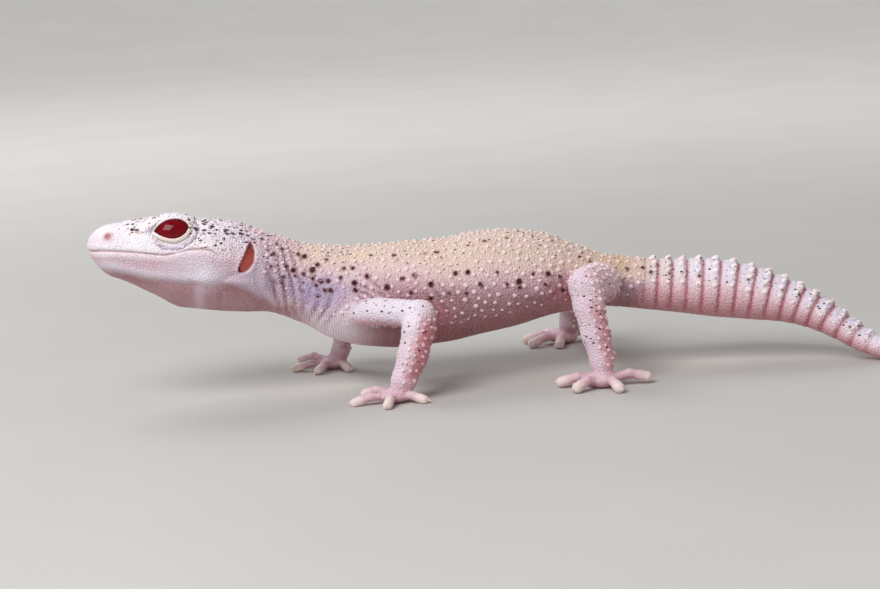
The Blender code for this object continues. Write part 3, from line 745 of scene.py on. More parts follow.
# ------------------------------------------------------------ colour zones
# A pale, nearly pigment-free animal: cream on the back, lilac and mauve on the flanks, some dusky rose below,
# with dark specks that the skin and its scales share, and painted shade under the body, in the mouth's line
# and under the lids. Each zone is a number from 0 to 1 on every point.


def section_radius(x, angle):
    """Points on the straight body at stations x and angles above the horizontal, right side for a cosine
    above 0: the section's middle plus the direction times 1 / its superellipse share."""
    up, down, half, upper, lower = read(FINE[3:], x)
    c, s = np.cos(angle), np.sin(angle)
    height, power = np.where(s > 0, up, down), np.where(s > 0, upper, lower)
    reach = (np.abs(c / half) ** power + np.abs(s / height) ** power) ** (-1 / power)
    across, over = section_axes(x)
    return (read(FINE[:3], x) + (across * c + over * s) * (reach - SKIN_INSET)).T


# Rows of larger spots along each side: first and last place, how many, their angle above the horizontal at
# both ends, and their radius at both ends.
SPOT_ROWS = [
    (-45.5, 12.0, 18, 26, 9, 0.58, 0.48),
    (-41.0, 9.0, 13, 8, -8, 0.44, 0.34),
    (-56.0, -36.0, 9, 52, 40, 0.46, 0.40),
    (-55.5, -43.0, 7, 28, 20, 0.46, 0.50),
    (-55.0, -42.0, 6, 4, 4, 0.40, 0.46),
    (-55.0, -44.0, 4, -14, -8, 0.34, 0.34),
    (13.0, 32.0, 7, 44, 40, 0.48, 0.30),
    (-32.0, 14.0, 10, 60, 60, 0.28, 0.30),
    (32.0, 82.0, 15, 34, 40, 0.22, 0.16),
]


def all_spots():
    """Middles and radii of the larger spots on both sides, each row drifting about its line."""
    chance = np.random.default_rng(5)
    middles, radii = [], []
    for side in (0, 1):
        for start, end, count, first, last, wide, small in SPOT_ROWS:
            t = (np.arange(count) + chance.uniform(-0.32, 0.32, count)) / (count - 1)
            angle = np.radians(first + (last - first) * t + chance.uniform(-7.7, 7.7, count))
            x = np.clip(start + (end - start) * t, start, end)
            middles.append(turn_head(section_radius(x, angle if side else math.pi - angle)))
            radii.append((wide + (small - wide) * t) * chance.uniform(0.55, 1.15, count))
    return np.concatenate(middles), np.concatenate(radii)


SPOT_MIDDLES, SPOT_RADII = all_spots()


def spot_distance(points):
    """Distance outside the nearest spot, in mm, up to 3."""
    nearest = np.full(len(points), 3.0)
    for row in np.array_split(np.arange(len(points)), max(1, len(points) // 20000)):
        apart = np.linalg.norm(points[row, None] - SPOT_MIDDLES[None], axis=2)
        nearest[row] = np.minimum(nearest[row], (apart - SPOT_RADII).min(axis=1))
    return nearest


TOE_TIPS = np.array([(tip[0], tip[1], TOE_TIP_LEVEL) for foot in FEET.values() for tip in foot[3]])
# Where the dusky throat begins, in side view, and how high up the side the cream back and how low the rows of
# flat belly scales begin, as shares of the section's height along the body.
JAW_EDGE = np.array(
    [(-90.0, 30.2), (-86.6, 29.3), (-80.6, 27.5), (-76.4, 26.7), (-73.3, 26.0)]
    + [(-70.2, 26.7), (-68.7, 27.4), (-64.3, 26.0), (-60.0, 23.8), (-54.0, 19.5)]
)
CREAM_EDGE = np.array([(-56, 0.45), (-42, 0.58), (-26, 0.60), (-11, 0.40), (8, 0.25), (22, 0.30)])
UNDER_EDGE = np.array([(-52, -1.2), (-46, -0.35), (-32, -0.25), (-22, -0.45), (0, -0.60), (20, -1.2)])
ALL = np.inf
# Soft patches: zone, strength, part of the animal, middle, and reach each way.
PATCHES = [
    ("mauve", 0.80, "body", (21.5, 0, 17.5), (4.5, ALL, 3.5)),  # root of the tail
    ("lilac", 1.00, "trunk", (-43.0, 0, 22.5), (7.0, ALL, 4.5)),  # side of the shoulder
    ("snow", 0.75, "trunk", (-40.0, 0, 14.0), (8.0, ALL, 4.5)),  # breast
    # white skin below the mouth's corner, made whiter still as a painted sheen where it faces down
    ("snow", 1.60, "head", (-68.0, 10, 26.8), (3.6, 5, 2.3)),  # below the mouth's corner
    ("rose", 0.80, "trunk", (-19.5, 10, 15), (4, 6, 4)),  # behind the arm
    ("rose", 0.90, "trunk", (11.0, 8, 17), (4, 7, 5)),  # before the thigh
    ("rose", 0.40, "head", (-63.5, 12, 28.5), (3, 4, 3)),  # behind the mouth's corner
    ("stain", 1.00, "body", (21.5, 0, 24.2), (6.0, ALL, 2.3)),  # over the hips
]


def zones(points, ways):
    """Every zone's share at each point, and the sizes that the scales there take."""
    straight = turn_head(points, back=True)
    x, _, above = body_place(straight)
    up, down = read(FINE[3:5], np.clip(x, SNOUT, TIP))
    level = np.where(above > 0, above / up, above / down)
    beside = mirrored(straight)
    z, height = straight[:, 2], points[:, 2]

    # Parts of the animal.
    leg = smooth(0.3, 1.6, body_field(points)) * (x > -50)
    body = 1 - leg
    head = smooth(-54.0, -59.0, x) * body
    tail = smooth(23.0, 30.0, x) * body
    trunk = np.clip(1 - head - tail, 0, 1) * body
    behind, beneath = smooth(-0.25, 0.45, ways[:, 0]), smooth(-0.15, -0.85, ways[:, 2])
    patchy, fine = rumple(points, 4.2, seed=31), rumple(points, 1.6, seed=32)
    parts = {"body": body, "trunk": trunk, "head": head}

    # Landmarks: distances outside or above them, or how much they hold.
    lids, ear, mouth = lid_distance(beside, 1), ear_distance(straight), mouth_height(straight)
    rim = lower_lid(eye_place(beside, 1)) * (lids < FAR)
    closed = smooth(MOUTH_CORNER + 0.6, MOUTH_CORNER - 1.0, x) * body
    nostril = np.linalg.norm(beside - NOSTRIL, axis=1)
    toe = np.min([np.linalg.norm(points - tip, axis=1) for tip in TOE_TIPS], axis=0)
    edge, jaw, under = (np.interp(x, line[:, 0], line[:, 1]) for line in (CREAM_EDGE, JAW_EDGE, UNDER_EDGE))
    groove = tail_grooves(x, above)[0] * body
    fold = folds(straight) * body
    neck = trunk * smooth(-46, -53, x)

    # Back.
    cream = smooth(edge - 0.36, edge + 0.30, level + 0.12 * patchy)
    cream *= trunk * smooth(-53, -44, x) + 0.6 * tail * smooth(40, 27, x)
    straw = cream * smooth(0.15, 0.7, rumple(points, 2.6, seed=33)) * smooth(-6, -24, x)

    # Flanks, folds and the cool shades of neck, jaw, legs and tail.
    mauve = smooth(-40, -26, x) * trunk * smooth(edge + 0.15, edge - 0.75, level) * (1.0 + 0.25 * patchy)
    mauve += 0.95 * np.clip(fold / 0.45, 0, 1) + 0.18 * trunk * smooth(-46, -52, x) * (0.6 + 0.5 * fine)
    lilac = trunk * smooth(-44, -50, x) * smooth(0.5, -0.1, level) * smooth(-0.8, -0.3, level)
    lilac *= 0.3 + 0.6 * fine
    lilac += 0.25 * tail * smooth(0.1, 0.8, level)
    lilac += 0.25 * trunk * smooth(10, 20, x) * smooth(0.6, 0.0, level)
    lilac += 0.30 * head * smooth(-0.4, -1.6, mouth) + 0.15 * head * smooth(-66, -60, x)
    lilac += 0.22 * leg * (1 - behind)

    # White of the head, breast, legs and tail.
    snow = head * smooth(jaw - 2.0, jaw + 1.2, z) * (0.92 + 0.1 * fine)
    snow *= 1 - 0.22 * smooth(-73, -65, x) - 0.25 * smooth(-64, -58, x)
    snow += 0.15 * trunk * smooth(-46, -54, x) * smooth(0.1, 0.8, level)
    snow += 0.30 * neck * hill(level - 0.2, 0.45)
    snow += 0.50 * leg * (x < -10) * smooth(12.5, 17.5, height) * (1 - beneath)
    snow += 0.30 * leg * (1 - behind) * (1 - beneath) + 0.95 * tail * smooth(0.0, 0.7, level)

    # Throat, belly and the tail's underside: a dusky rose that is mostly painted shade where they face down.
    dusky_rose_and_shade = trunk * smooth(-0.20, -0.80, level) * smooth(-38, -26, x)
    dusky_rose_and_shade += head * smooth(jaw + 0.6, jaw - 1.3, z) * (0.85 + 0.15 * patchy)
    dusky_rose_and_shade += 0.8 * neck * smooth(jaw + 0.5, jaw - 1.0, z)
    dusky_rose_and_shade += 0.45 * tail * smooth(-0.45, -0.90, level) * (1 - groove)
    # Where that painted shade is lifted: the white patch below the mouth's corner, a stripe down the throat,
    # and along the jaw's edge.
    pale = 1.3 * bump_at(beside, (-68.2, 10, 26.0), (3.0, 5, 2.6))
    pale += bump_at(beside, (-70.6, 6, 22.0), (1.2, 8, 4))  # stripe down the throat
    pale += 0.6 * hill(z - jaw + 0.3, 0.7) * smooth(-70, -66, x) * smooth(-50, -54, x)
    dusky_rose_and_shade = np.clip(dusky_rose_and_shade * (1 - 0.85 * pale * (head + trunk)), 0, 1)

    # Blood under thin skin: tail, legs, lips, nostrils.
    rose = groove + 0.75 * tail * smooth(0.25, -0.7, level)
    rose += leg * (1.0 - 0.3 * (x > 0)) * behind * smooth(3.5, 6.0, height) * smooth(19.5, 15.0, height)
    rose += leg * (0.45 * beneath + 0.30 * smooth(5.5, 3.0, height))
    rose += head * (0.22 * smooth(-88, -93, x) + 0.75 * smooth(1.5, 0.7, nostril))
    rose += 0.30 * head * smooth(jaw + 0.8, jaw + 2.5, z) * smooth(-0.5, -2.0, mouth) * smooth(-72, -80, x)
    rose += 0.30 * hill(mouth, 0.35) * closed
    brick = np.maximum(smooth(0.02, -0.16, ear), smooth(0.04, -0.1, lids))
    # Painted shade: a darker middle in each nostril's opening.
    brick = np.maximum(brick, 0.45 * head * smooth(0.75, 0.2, nostril))

    # Lid rims and toe tips, painted shade in the mouth's line and in the groove under the lower lid, and
    # where specks may lie.
    ivory = smooth(0.82, 0.62, lids) * smooth(-0.02, 0.12, lids) * (0.15 + 0.85 * rim)
    ivory = np.maximum(ivory, 0.55 * smooth(3.0, 1.2, toe)) * (1 - brick)
    shadow = np.maximum(hill(lids - 0.86, 0.14) * rim * 0.7, 0.42 * hill(mouth, 0.13) * closed)
    stain = np.zeros(len(x))
    speckled = [
        head * smooth(-89.5, -83.0, x) * smooth(34.6, 36.6, z + 0.10 * (x + 75)) * smooth(1.2, 1.7, lids),
        head * smooth(-74, -69, x) * smooth(31.0, 33.5, z),
        0.8 * trunk * smooth(-48, -54, x) * smooth(-0.2, 0.3, level),
        trunk * (0.36 + 0.22 * smooth(0.5, 0.9, level)) * smooth(-0.3, 0.2, level),
        0.62 * tail * smooth(-0.1, 0.5, level) * smooth(90, 70, x),
        0.55 * leg * smooth(6.0, 9.0, height) * (1 - beneath),
    ]
    freckle = np.max(speckled, axis=0) * smooth(-0.1, 0.4, ear)
    values = {
        "snow": snow,
        "mauve": mauve,
        "lilac": lilac,
        "dusky_rose_and_shade": dusky_rose_and_shade,
        "cream": cream,
        "straw": straw,
        "stain": stain,
        "pearl": np.zeros(len(x)),
        "rose": rose,
        "ivory": ivory,
        "brick": brick,
        "shadow": shadow,
        "freckle": freckle,
    }
    for zone, strength, part, centre, reach in PATCHES:
        values[zone] += strength * parts[part] * bump_at(beside, centre, reach)
    values["stain"] *= 0.7 + 0.5 * fine
    values["snow"] *= 1 - 0.40 * smooth(0.4, -0.6, mouth) * smooth(-92, -84, x) * closed
    values = {key: np.clip(value, 0, 1) for key, value in values.items()} | {"spots": spot_distance(points)}

    # How far apart the small scales stand, how high they rise, and where there are none.
    size = 0.55 * trunk + 0.48 * head + 0.56 * tail + 0.50 * leg
    relief = 0.11 * trunk + 0.17 * head + 0.09 * tail + 0.12 * leg + 0.13 * head * smooth(1.9, 1.2, lids)
    relief *= 1 - 0.45 * smooth(-0.35, -0.75, level) * body
    cheek, throat = smooth(36.0, 34.0, z) * smooth(-64, -70, x), smooth(31.0, 28.0, z) * smooth(-55, -62, x)
    relief *= 1 - 0.65 * head * np.max([cheek, throat, smooth(-86, -90, x)], axis=0)
    bare = (lids < 0.38 + 0.45 * rim) | (ear < 0.25) | (toe < 4.2) | (height < 1.4) | (groove > 0.6)
    bare |= (np.abs(mouth) < 0.40) & (closed > 0.3) | (nostril < 0.9)
    form = {"size": size, "relief": relief, "bare": bare, "under": trunk * (leg < 0.02) * (level < under)}
    form |= {"leg": leg, "tail": tail, "head": head, "x": x, "level": level, "behind": behind}
    return values, form | {"straight": straight}


def fill_mesh(name, points, faces, material, values, uv=None):
    """A smooth object with its place in its mesh: faces are tables of point numbers, one row each, -1 for
    none; values are named numbers on the points, and uv a place for each corner of each face."""
    used = [table >= 0 for table in faces]
    corners = np.concatenate([table[mask] for table, mask in zip(faces, used)])
    sides = np.concatenate([mask.sum(axis=1) for mask in used])
    mesh = bpy.data.meshes.new(name)
    mesh.vertices.add(len(points))
    mesh.vertices.foreach_set("co", to_metres(points).astype(np.float32).ravel())
    mesh.loops.add(len(corners))
    mesh.loops.foreach_set("vertex_index", corners.astype(np.int32))
    mesh.polygons.add(len(sides))
    mesh.polygons.foreach_set("loop_start", (np.cumsum(sides) - sides).astype(np.int32))
    mesh.update(calc_edges=True)
    for key, value in values.items():
        layer = mesh.attributes.new(key, "FLOAT", "POINT")
        layer.data.foreach_set("value", np.asarray(value, np.float32))
    if uv is not None:
        layer = mesh.uv_layers.new(name="OFBake")
        layer.data.foreach_set("uv", uv.astype(np.float32).ravel())
    mesh.shade_smooth()
    mesh.materials.append(material)
    piece = bpy.data.objects.new(name, mesh)
    bpy.context.scene.collection.objects.link(piece)
    return piece


# ------------------------------------------------------------ the skin's finish
# Thin hide over flesh: each zone's colour lies over a pale base, with fine grain, and light sinks a little
# way in. The scales have the same finish, with a finer grain.
BASE, BASE_LIGHT, GRAIN = (0.76, 0.52, 0.585), (0.80, 0.59, 0.645), (0.95, 0.86, 0.86)
# Each zone's colour, and how far it covers what lies under it at the most.
ZONE_COLOURS = [
    ("snow", (0.90, 0.845, 0.915), 1.0),
    ("mauve", (0.33, 0.150, 0.180), 0.95),
    ("lilac", (0.43, 0.34, 0.53), 0.92),
    # dusky rose below, mostly painted shade where the body faces down
    ("dusky_rose_and_shade", (0.38, 0.15, 0.165), 0.95),
    ("cream", (0.71, 0.545, 0.465), 0.95),
    ("straw", (0.80, 0.60, 0.38), 0.38),
    ("stain", (0.62, 0.40, 0.21), 0.75),
    ("pearl", (0.92, 0.78, 0.79), 1.0),
    ("rose", (0.56, 0.185, 0.225), 0.92),
    ("ivory", (0.91, 0.82, 0.72), 0.95),
    ("brick", (0.30, 0.050, 0.045), 1.0),
    ("shadow", (0.10, 0.05, 0.05), 1.0),
]
# Specks: the size of their cells in mm, how wide they grow, colour and strength.
SPECKLES = [
    (1.15, 0.34, (0.34, 0.18, 0.14), 0.65),
    (1.10, 0.40, (0.060, 0.022, 0.030), 0.95),
]
SPOT_RIM, SPOT = (0.27, 0.10, 0.09), (0.062, 0.011, 0.015)


def connect(node, **links):
    """Each input of a node, named by its number or name, given a value or another's output."""
    for key, value in links.items():
        socket = node.inputs[int(key[1:])] if key[1:].isdigit() else node.inputs[key.replace("_", " ")]
        if isinstance(value, bpy.types.NodeSocket):
            node.id_data.links.new(value, socket)
        else:
            socket.default_value = value
    return node


def add(tree, kind, settings=(), **links):
    """A new node with its settings and inputs."""
    node = tree.nodes.new(kind)
    for key, value in dict(settings).items():
        setattr(node, key, value)
    return connect(node, **links)


def new_material(name, **constants):
    """A new material, its shader with constants on its own sockets, its tree, and the place on the piece."""
    material = bpy.data.materials.new(name)
    material.use_nodes = True
    tree = material.node_tree
    shader = connect(tree.nodes["Principled BSDF"], **constants)
    return material, shader, tree, add(tree, "ShaderNodeTexCoord").outputs["Object"]


def attribute(tree, name):
    """A named number that the mesh carries."""
    return add(tree, "ShaderNodeAttribute", {"attribute_name": name}).outputs["Fac"]


def sums(tree, operation, a, b, c=0.0):
    """One step of arithmetic."""
    return add(tree, "ShaderNodeMath", {"operation": operation}, i0=a, i1=b, i2=c).outputs[0]


def blend(tree, share, a, b):
    """Colour a turned to b by a share."""
    a, b = (c if isinstance(c, bpy.types.NodeSocket) else (*c, 1.0) for c in (a, b))
    return add(tree, "ShaderNodeMix", {"data_type": "RGBA"}, i0=share, i6=a, i7=b).outputs[2]


def ramp(tree, value, start, end):
    """0 at start and 1 at end, smoothly."""
    settings = {"interpolation_type": "SMOOTHSTEP"}
    return add(tree, "ShaderNodeMapRange", settings, i0=value, i1=start, i2=end).outputs[0]


def noise(tree, place, size, detail=2.0):
    """Noise whose waves are about size mm long."""
    return add(tree, "ShaderNodeTexNoise", Vector=place, Scale=1 / (size * MM), Detail=detail).outputs[0]


def hide_material(name, cell, bump_depth, flesh_depth):
    """The hide: base colour turned to each zone's by its share, mottled; then specks, where a cell pattern's
    distance is under the freckle share, and spots, where the spot distance is near 0. cell and bump_depth
    are the width and height of its finest grain, and flesh_depth is how far light goes into it, in mm."""
    material, shader, tree, place = new_material(
        name,
        Specular_IOR_Level=0.28,
        Subsurface_Weight=0.30,
        Subsurface_Radius=(1.0, 0.36, 0.25),
        Subsurface_Scale=flesh_depth * MM,
    )
    mottle, grain = noise(tree, place, 3.0, 3.0), noise(tree, place, 0.8)
    colour = blend(tree, ramp(tree, mottle, 0.35, 0.7), BASE, BASE_LIGHT)
    for zone, tint, most in ZONE_COLOURS:
        share = sums(tree, "MULTIPLY", attribute(tree, zone), most)
        colour = blend(tree, share, colour, tint)
    light = ramp(tree, grain, 0.3, 0.75)
    colour = blend(tree, sums(tree, "MULTIPLY", light, 0.13), colour, GRAIN)
    freckle = attribute(tree, "freckle")
    multiply = {"operation": "MULTIPLY"}
    longer = add(tree, "ShaderNodeVectorMath", multiply, i0=place, i1=(0.72, 1.0, 1.1)).outputs[0]
    for size, most, tint, strength in SPECKLES:
        cells = add(tree, "ShaderNodeTexVoronoi", Vector=longer, Scale=1 / (size * MM))
        chance = add(tree, "ShaderNodeSeparateColor", Color=cells.outputs["Color"]).outputs[0]
        reach = sums(tree, "MULTIPLY", freckle, sums(tree, "MULTIPLY_ADD", chance, most * 0.7, most * 0.45))
        ragged = sums(tree, "MULTIPLY_ADD", grain, 0.12, cells.outputs["Distance"])
        inside = sums(tree, "SUBTRACT", reach, ragged)
        share = sums(tree, "MULTIPLY", ramp(tree, inside, -0.10, 0.0), strength)
        colour = blend(tree, share, colour, tint)
    ragged = sums(tree, "MULTIPLY_ADD", grain, 0.28, attribute(tree, "spots"))
    colour = blend(tree, sums(tree, "MULTIPLY", ramp(tree, ragged, 0.72, 0.24), 0.6), colour, SPOT_RIM)
    colour = blend(tree, ramp(tree, ragged, 0.33, 0.11), colour, SPOT)
    cells = add(tree, "ShaderNodeTexVoronoi", {"feature": "F1"}, Vector=place, Scale=1 / (cell * MM))
    height = sums(tree, "MULTIPLY", cells.outputs["Distance"], -bump_depth * MM)
    bump = add(tree, "ShaderNodeBump", Height=height, Distance=1.0, Strength=1.0).outputs[0]
    roughness = sums(tree, "MULTIPLY_ADD", light, 0.12, 0.42)
    connect(shader, Base_Color=colour, Normal=bump, Roughness=roughness)
    return material


skin_faces = [quads, seam, fine_seam]
_, ways, _ = slope_of(skin_field, points)
values, form = zones(points, ways)
hide = hide_material("gecko_hide", 0.42, 0.10, 0.10)
skin = fill_mesh("skin", points, skin_faces, hide, values)
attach(skin, "root")
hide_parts(*[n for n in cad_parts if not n.startswith("eye") and not n.startswith("eardrum")])


# ============================================================ eyes
# Each eyeball is one smooth wet ball behind the lids, deep ruby with a darker rim and a narrow upright pupil
# that hardly shows, clear over it all.
def ring_walls(rings, sides):
    """Quads between rings of points that are numbered ring by ring: a point, the one beyond it on the next
    ring, and the two after those round the rings. Gives these, one ring's numbers, and the next to each."""
    first, after = np.arange(sides), np.roll(np.arange(sides), -1)
    wall = np.stack([first, first + sides, after + sides, after], 1)
    return np.concatenate([wall + k * sides for k in range(rings - 1)]), first, after


def closed_grid(rings, sides):
    """Faces of rings of points round an axis, closed by a single point at either end: triangles at the two
    poles and quads between. Point 0 is the first pole and the last point the other."""
    walls, first, after = ring_walls(rings, sides)
    last = 1 + (rings - 1) * sides
    start = np.stack([0 * first, first + 1, after + 1], 1)
    end = np.stack([0 * first + last + sides, after + last, first + last], 1)
    return [walls + 1, start, end]


def ball_points(half, rings, sides, swell):
    """An ellipsoid round its third axis, from the front pole to the back: half sizes times (sin a cos b,
    sin a sin b, cos a), swollen over the front by a share of e to the minus (a / 0.7) squared."""
    a = np.linspace(0, math.pi, rings + 2)[1:-1, None]
    b = np.linspace(0, 2 * math.pi, sides, endpoint=False)[None]
    middle = np.stack([np.sin(a) * np.cos(b), np.sin(a) * np.sin(b), np.cos(a) + 0 * b], 2).reshape(-1, 3)
    unit = np.concatenate([[[0, 0, 1.0]], middle, [[0, 0, -1.0]]])
    angle = np.arccos(np.clip(unit[:, 2], -1, 1))
    return unit * (1 + swell * hill(angle, 0.7))[:, None] * half, unit


EYE_RUBY, EYE_FIBRE = (0.17, 0.0, 0.004), (0.24, 0.001, 0.008)
EYE_EDGE, EYE_PUPIL = (0.03, 0.0005, 0.002), (0.1, 0, 0.003)
EYE_RINGS, EYE_SIDES = 46, 72
EYE_FIT, EYE_SWELL = 0.985, 0.03  # a little smaller than its hollow, and how much the clear front stands out
PUPIL_HALF = (0.10, 0.48)  # its half width and height, as shares of the eyeball
eye_material, shader, tree, place = new_material(
    "ruby_eye",
    Roughness=0.12,
    Coat_Weight=1.0,
    Coat_Roughness=0.10,
    Coat_IOR=1.30,
    Specular_IOR_Level=0.0,
    Subsurface_Weight=0.15,
    Subsurface_Radius=(1.0, 0.1, 0.1),
    Subsurface_Scale=1.0 * MM,
)
fibres = ramp(tree, noise(tree, place, 0.6, 4.0), 0.4, 0.7)
colour = blend(tree, sums(tree, "MULTIPLY", fibres, 0.30), EYE_RUBY, EYE_FIBRE)
colour = blend(tree, ramp(tree, attribute(tree, "radial"), 0.50, 0.86), colour, EYE_EDGE)
pupil = ramp(tree, attribute(tree, "slit"), 1.1, 0.7)
connect(shader, Base_Color=blend(tree, sums(tree, "MULTIPLY", pupil, 0.7), colour, EYE_PUPIL))
for side, word in ((-1, "left"), (1, "right")):
    shape, unit = ball_points(BALL_HALF * EYE_FIT, EYE_RINGS, EYE_SIDES, EYE_SWELL)
    at = turn_with_head(shape @ eye_axes(side) + EYE_CENTRE * (1, side, 1))
    faces = [table[:, ::-side] for table in closed_grid(EYE_RINGS, EYE_SIDES)]  # outwards on either side
    marks = {
        "radial": np.hypot(unit[:, 0], unit[:, 1]),
        "slit": np.hypot(unit[:, 0] / PUPIL_HALF[0], unit[:, 1] / PUPIL_HALF[1]) + FAR * (unit[:, 2] < 0),
    }
    eye = fill_mesh("eyeball_" + word, at, faces, eye_material, marks)
    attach(eye, "root")
    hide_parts("eye_" + word)

# ============================================================ eardrums
# A thin oval skin stretched across each ear opening, brick red with fine vessels, slightly sunk in its
# middle. It lies at the bottom of the ear, square to the skin round it.
DRUM_HALF, DRUM_DEPTH, DRUM_SINK = np.array([1.75, 3.7, 0.28]), 0.72, 0.20
DRUM_RINGS, DRUM_SIDES = 16, 36
DRUM_VESSEL, DRUM_RED, DRUM_MOTTLE = (0.38, 0.045, 0.036), (0.52, 0.105, 0.085), (0.45, 0.070, 0.055)
EAR_CENTRE, EAR_LEAN = (EAR_TOP + EAR_BOTTOM) / 2 + (0.75, -0.15), math.radians(25)
LEAN_AXES = np.array([[math.cos(EAR_LEAN), -math.sin(EAR_LEAN)], [math.sin(EAR_LEAN), math.cos(EAR_LEAN)]])
drum_material, shader, tree, place = new_material("eardrum_skin", Roughness=0.38)
edges = {"feature": "DISTANCE_TO_EDGE"}
vessels = add(tree, "ShaderNodeTexVoronoi", edges, Vector=place, Scale=1 / (0.9 * MM))
colour = blend(tree, ramp(tree, vessels.outputs["Distance"], 0.0, 0.12), DRUM_VESSEL, DRUM_RED)
connect(shader, Base_Color=blend(tree, noise(tree, place, 1.5), colour, DRUM_MOTTLE))
for side, word in ((-1, "left"), (1, "right")):
    shape, unit = ball_points(DRUM_HALF, DRUM_RINGS, DRUM_SIDES, 0.0)
    shape[:, 2] -= DRUM_SINK * (1 - unit[:, 0] ** 2 - unit[:, 1] ** 2) * (unit[:, 2] > 0)
    flat = shape[:, :2] @ LEAN_AXES + EAR_CENTRE
    flat = np.stack([flat[:, 0], np.full(len(flat), EAR_SIDE * side), flat[:, 1]], 1)
    surface = settle(turn_with_head(flat), skin_field, 8)
    _, ways_out, _ = slope_of(skin_field, surface)
    at = surface - ways_out * (DRUM_DEPTH - shape[:, 2])[:, None]
    faces = [table[:, ::-side] for table in closed_grid(DRUM_RINGS, DRUM_SIDES)]
    drum = fill_mesh("eardrum_skin_" + word, at, faces, drum_material, {})
    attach(drum, "root")
    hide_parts("eardrum_" + word)

# ============================================================ claws
# A short horn claw on each toe, pale and a little translucent. It grows out of the toe's end over the pad and
# curves down to the ground.
def many(faces, count, size):
    """One form's faces repeated for count forms whose points follow one another, size points to each."""
    offset = (np.arange(count) * size)[:, None, None]
    return [(table + offset).reshape(-1, table.shape[1]) for table in faces]


CLAW_LENGTH, CLAW_GIRTH, CLAW_RINGS, CLAW_SIDES = 1.15, 0.36, 7, 10
CLAW_DROP, CLAW_NARROW = 0.62, 0.8  # how far the point hangs under the knee, and width over height
UP = np.array([0.0, 0.0, 1.0])
toes = [(toe_path(palm, tip), girth) for palm, _, girth, ends in FEET.values() for tip in ends]
tips = np.array([path[-1] for path, _ in toes])
outs = np.array([(path[-1] - path[-2]) * (1, 1, 0) for path, _ in toes])
outs /= np.linalg.norm(outs, axis=1)[:, None]
root = tips + outs * np.array([girth for _, girth in toes])[:, None] * 0.55 + UP * 0.22
knee = root + outs * 0.62 * CLAW_LENGTH
point = knee + outs * 0.42 * CLAW_LENGTH - UP * CLAW_DROP
# Each claw's centre line is a curve from root to point pulled towards the knee, with round rings that taper.
t = np.linspace(0, 1, CLAW_RINGS)[None, :, None]
line = root[:, None] * (1 - t) ** 2 + 2 * knee[:, None] * t * (1 - t) + point[:, None] * t**2
tangent = 2 * (knee - root)[:, None] * (1 - t) + 2 * (point - knee)[:, None] * t
tangent /= np.linalg.norm(tangent, axis=2)[..., None]
across = np.cross(outs, UP)[:, None] + 0 * tangent
over = np.cross(across, tangent)
angle = np.linspace(0, 2 * math.pi, CLAW_SIDES, endpoint=False)[:, None]
ring = across[:, :, None] * np.cos(angle) * CLAW_NARROW + over[:, :, None] * np.sin(angle)
rings = line[:, :, None] + ring * CLAW_GIRTH * (1 - t[..., None]) ** 0.7
back_end = line[:, :1] - tangent[:, :1] * 0.2
claws = np.concatenate([back_end, rings[:, :-1].reshape(len(tips), -1, 3), line[:, -1:]], 1)
claws[..., 2] = np.maximum(claws[..., 2], 0.02)
faces = many([table[:, ::-1] for table in closed_grid(CLAW_RINGS - 1, CLAW_SIDES)], len(tips), claws.shape[1])
material, shader, tree, place = new_material(
    "claw_horn",
    Roughness=0.3,
    Subsurface_Weight=0.4,
    Subsurface_Radius=(1.0, 0.5, 0.3),
    Subsurface_Scale=0.8 * MM,
)
streaks = ramp(tree, noise(tree, place, 0.5, 3.0), 0.4, 0.7)
colour = blend(tree, attribute(tree, "along"), (0.84, 0.73, 0.63), (0.77, 0.60, 0.46))
connect(shader, Base_Color=blend(tree, streaks, colour, (0.88, 0.78, 0.66)))
along = np.concatenate([[0], np.repeat(np.linspace(0, 1, CLAW_RINGS - 1), CLAW_SIDES), [1]])
horn = fill_mesh("claws", claws.reshape(-1, 3), faces, material, {"along": np.tile(along, len(tips))})
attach(horn, "root")

# ============================================================ scales
# The hide is a mosaic of small domed scales, flatter below, with larger cone-shaped tubercles over the back,
# flanks, limbs and tail rings. Each is a small closed form rooted in the skin, and leans to the rear.
def sample(points, faces, count, seed):
    """Random places spread evenly over the faces, as three points' numbers and their weights."""
    fans = [table[:, [0, k, k + 1]] for table in faces for k in range(1, table.shape[1] - 1)]
    corners = np.concatenate(fans)
    corners = corners[np.all(corners >= 0, axis=1)]
    a, b, c = (points[corners[:, k]] for k in range(3))
    area = np.linalg.norm(np.cross(b - a, c - a), axis=1)
    chance = np.random.default_rng(seed)
    chosen = np.searchsorted(np.cumsum(area) / area.sum(), chance.random(count))
    u, v = chance.random(count), chance.random(count)
    u, v = np.where(u + v > 1, 1 - u, u), np.where(u + v > 1, 1 - v, v)
    return corners[np.minimum(chosen, len(corners) - 1)], np.stack([1 - u - v, u, v], 1)


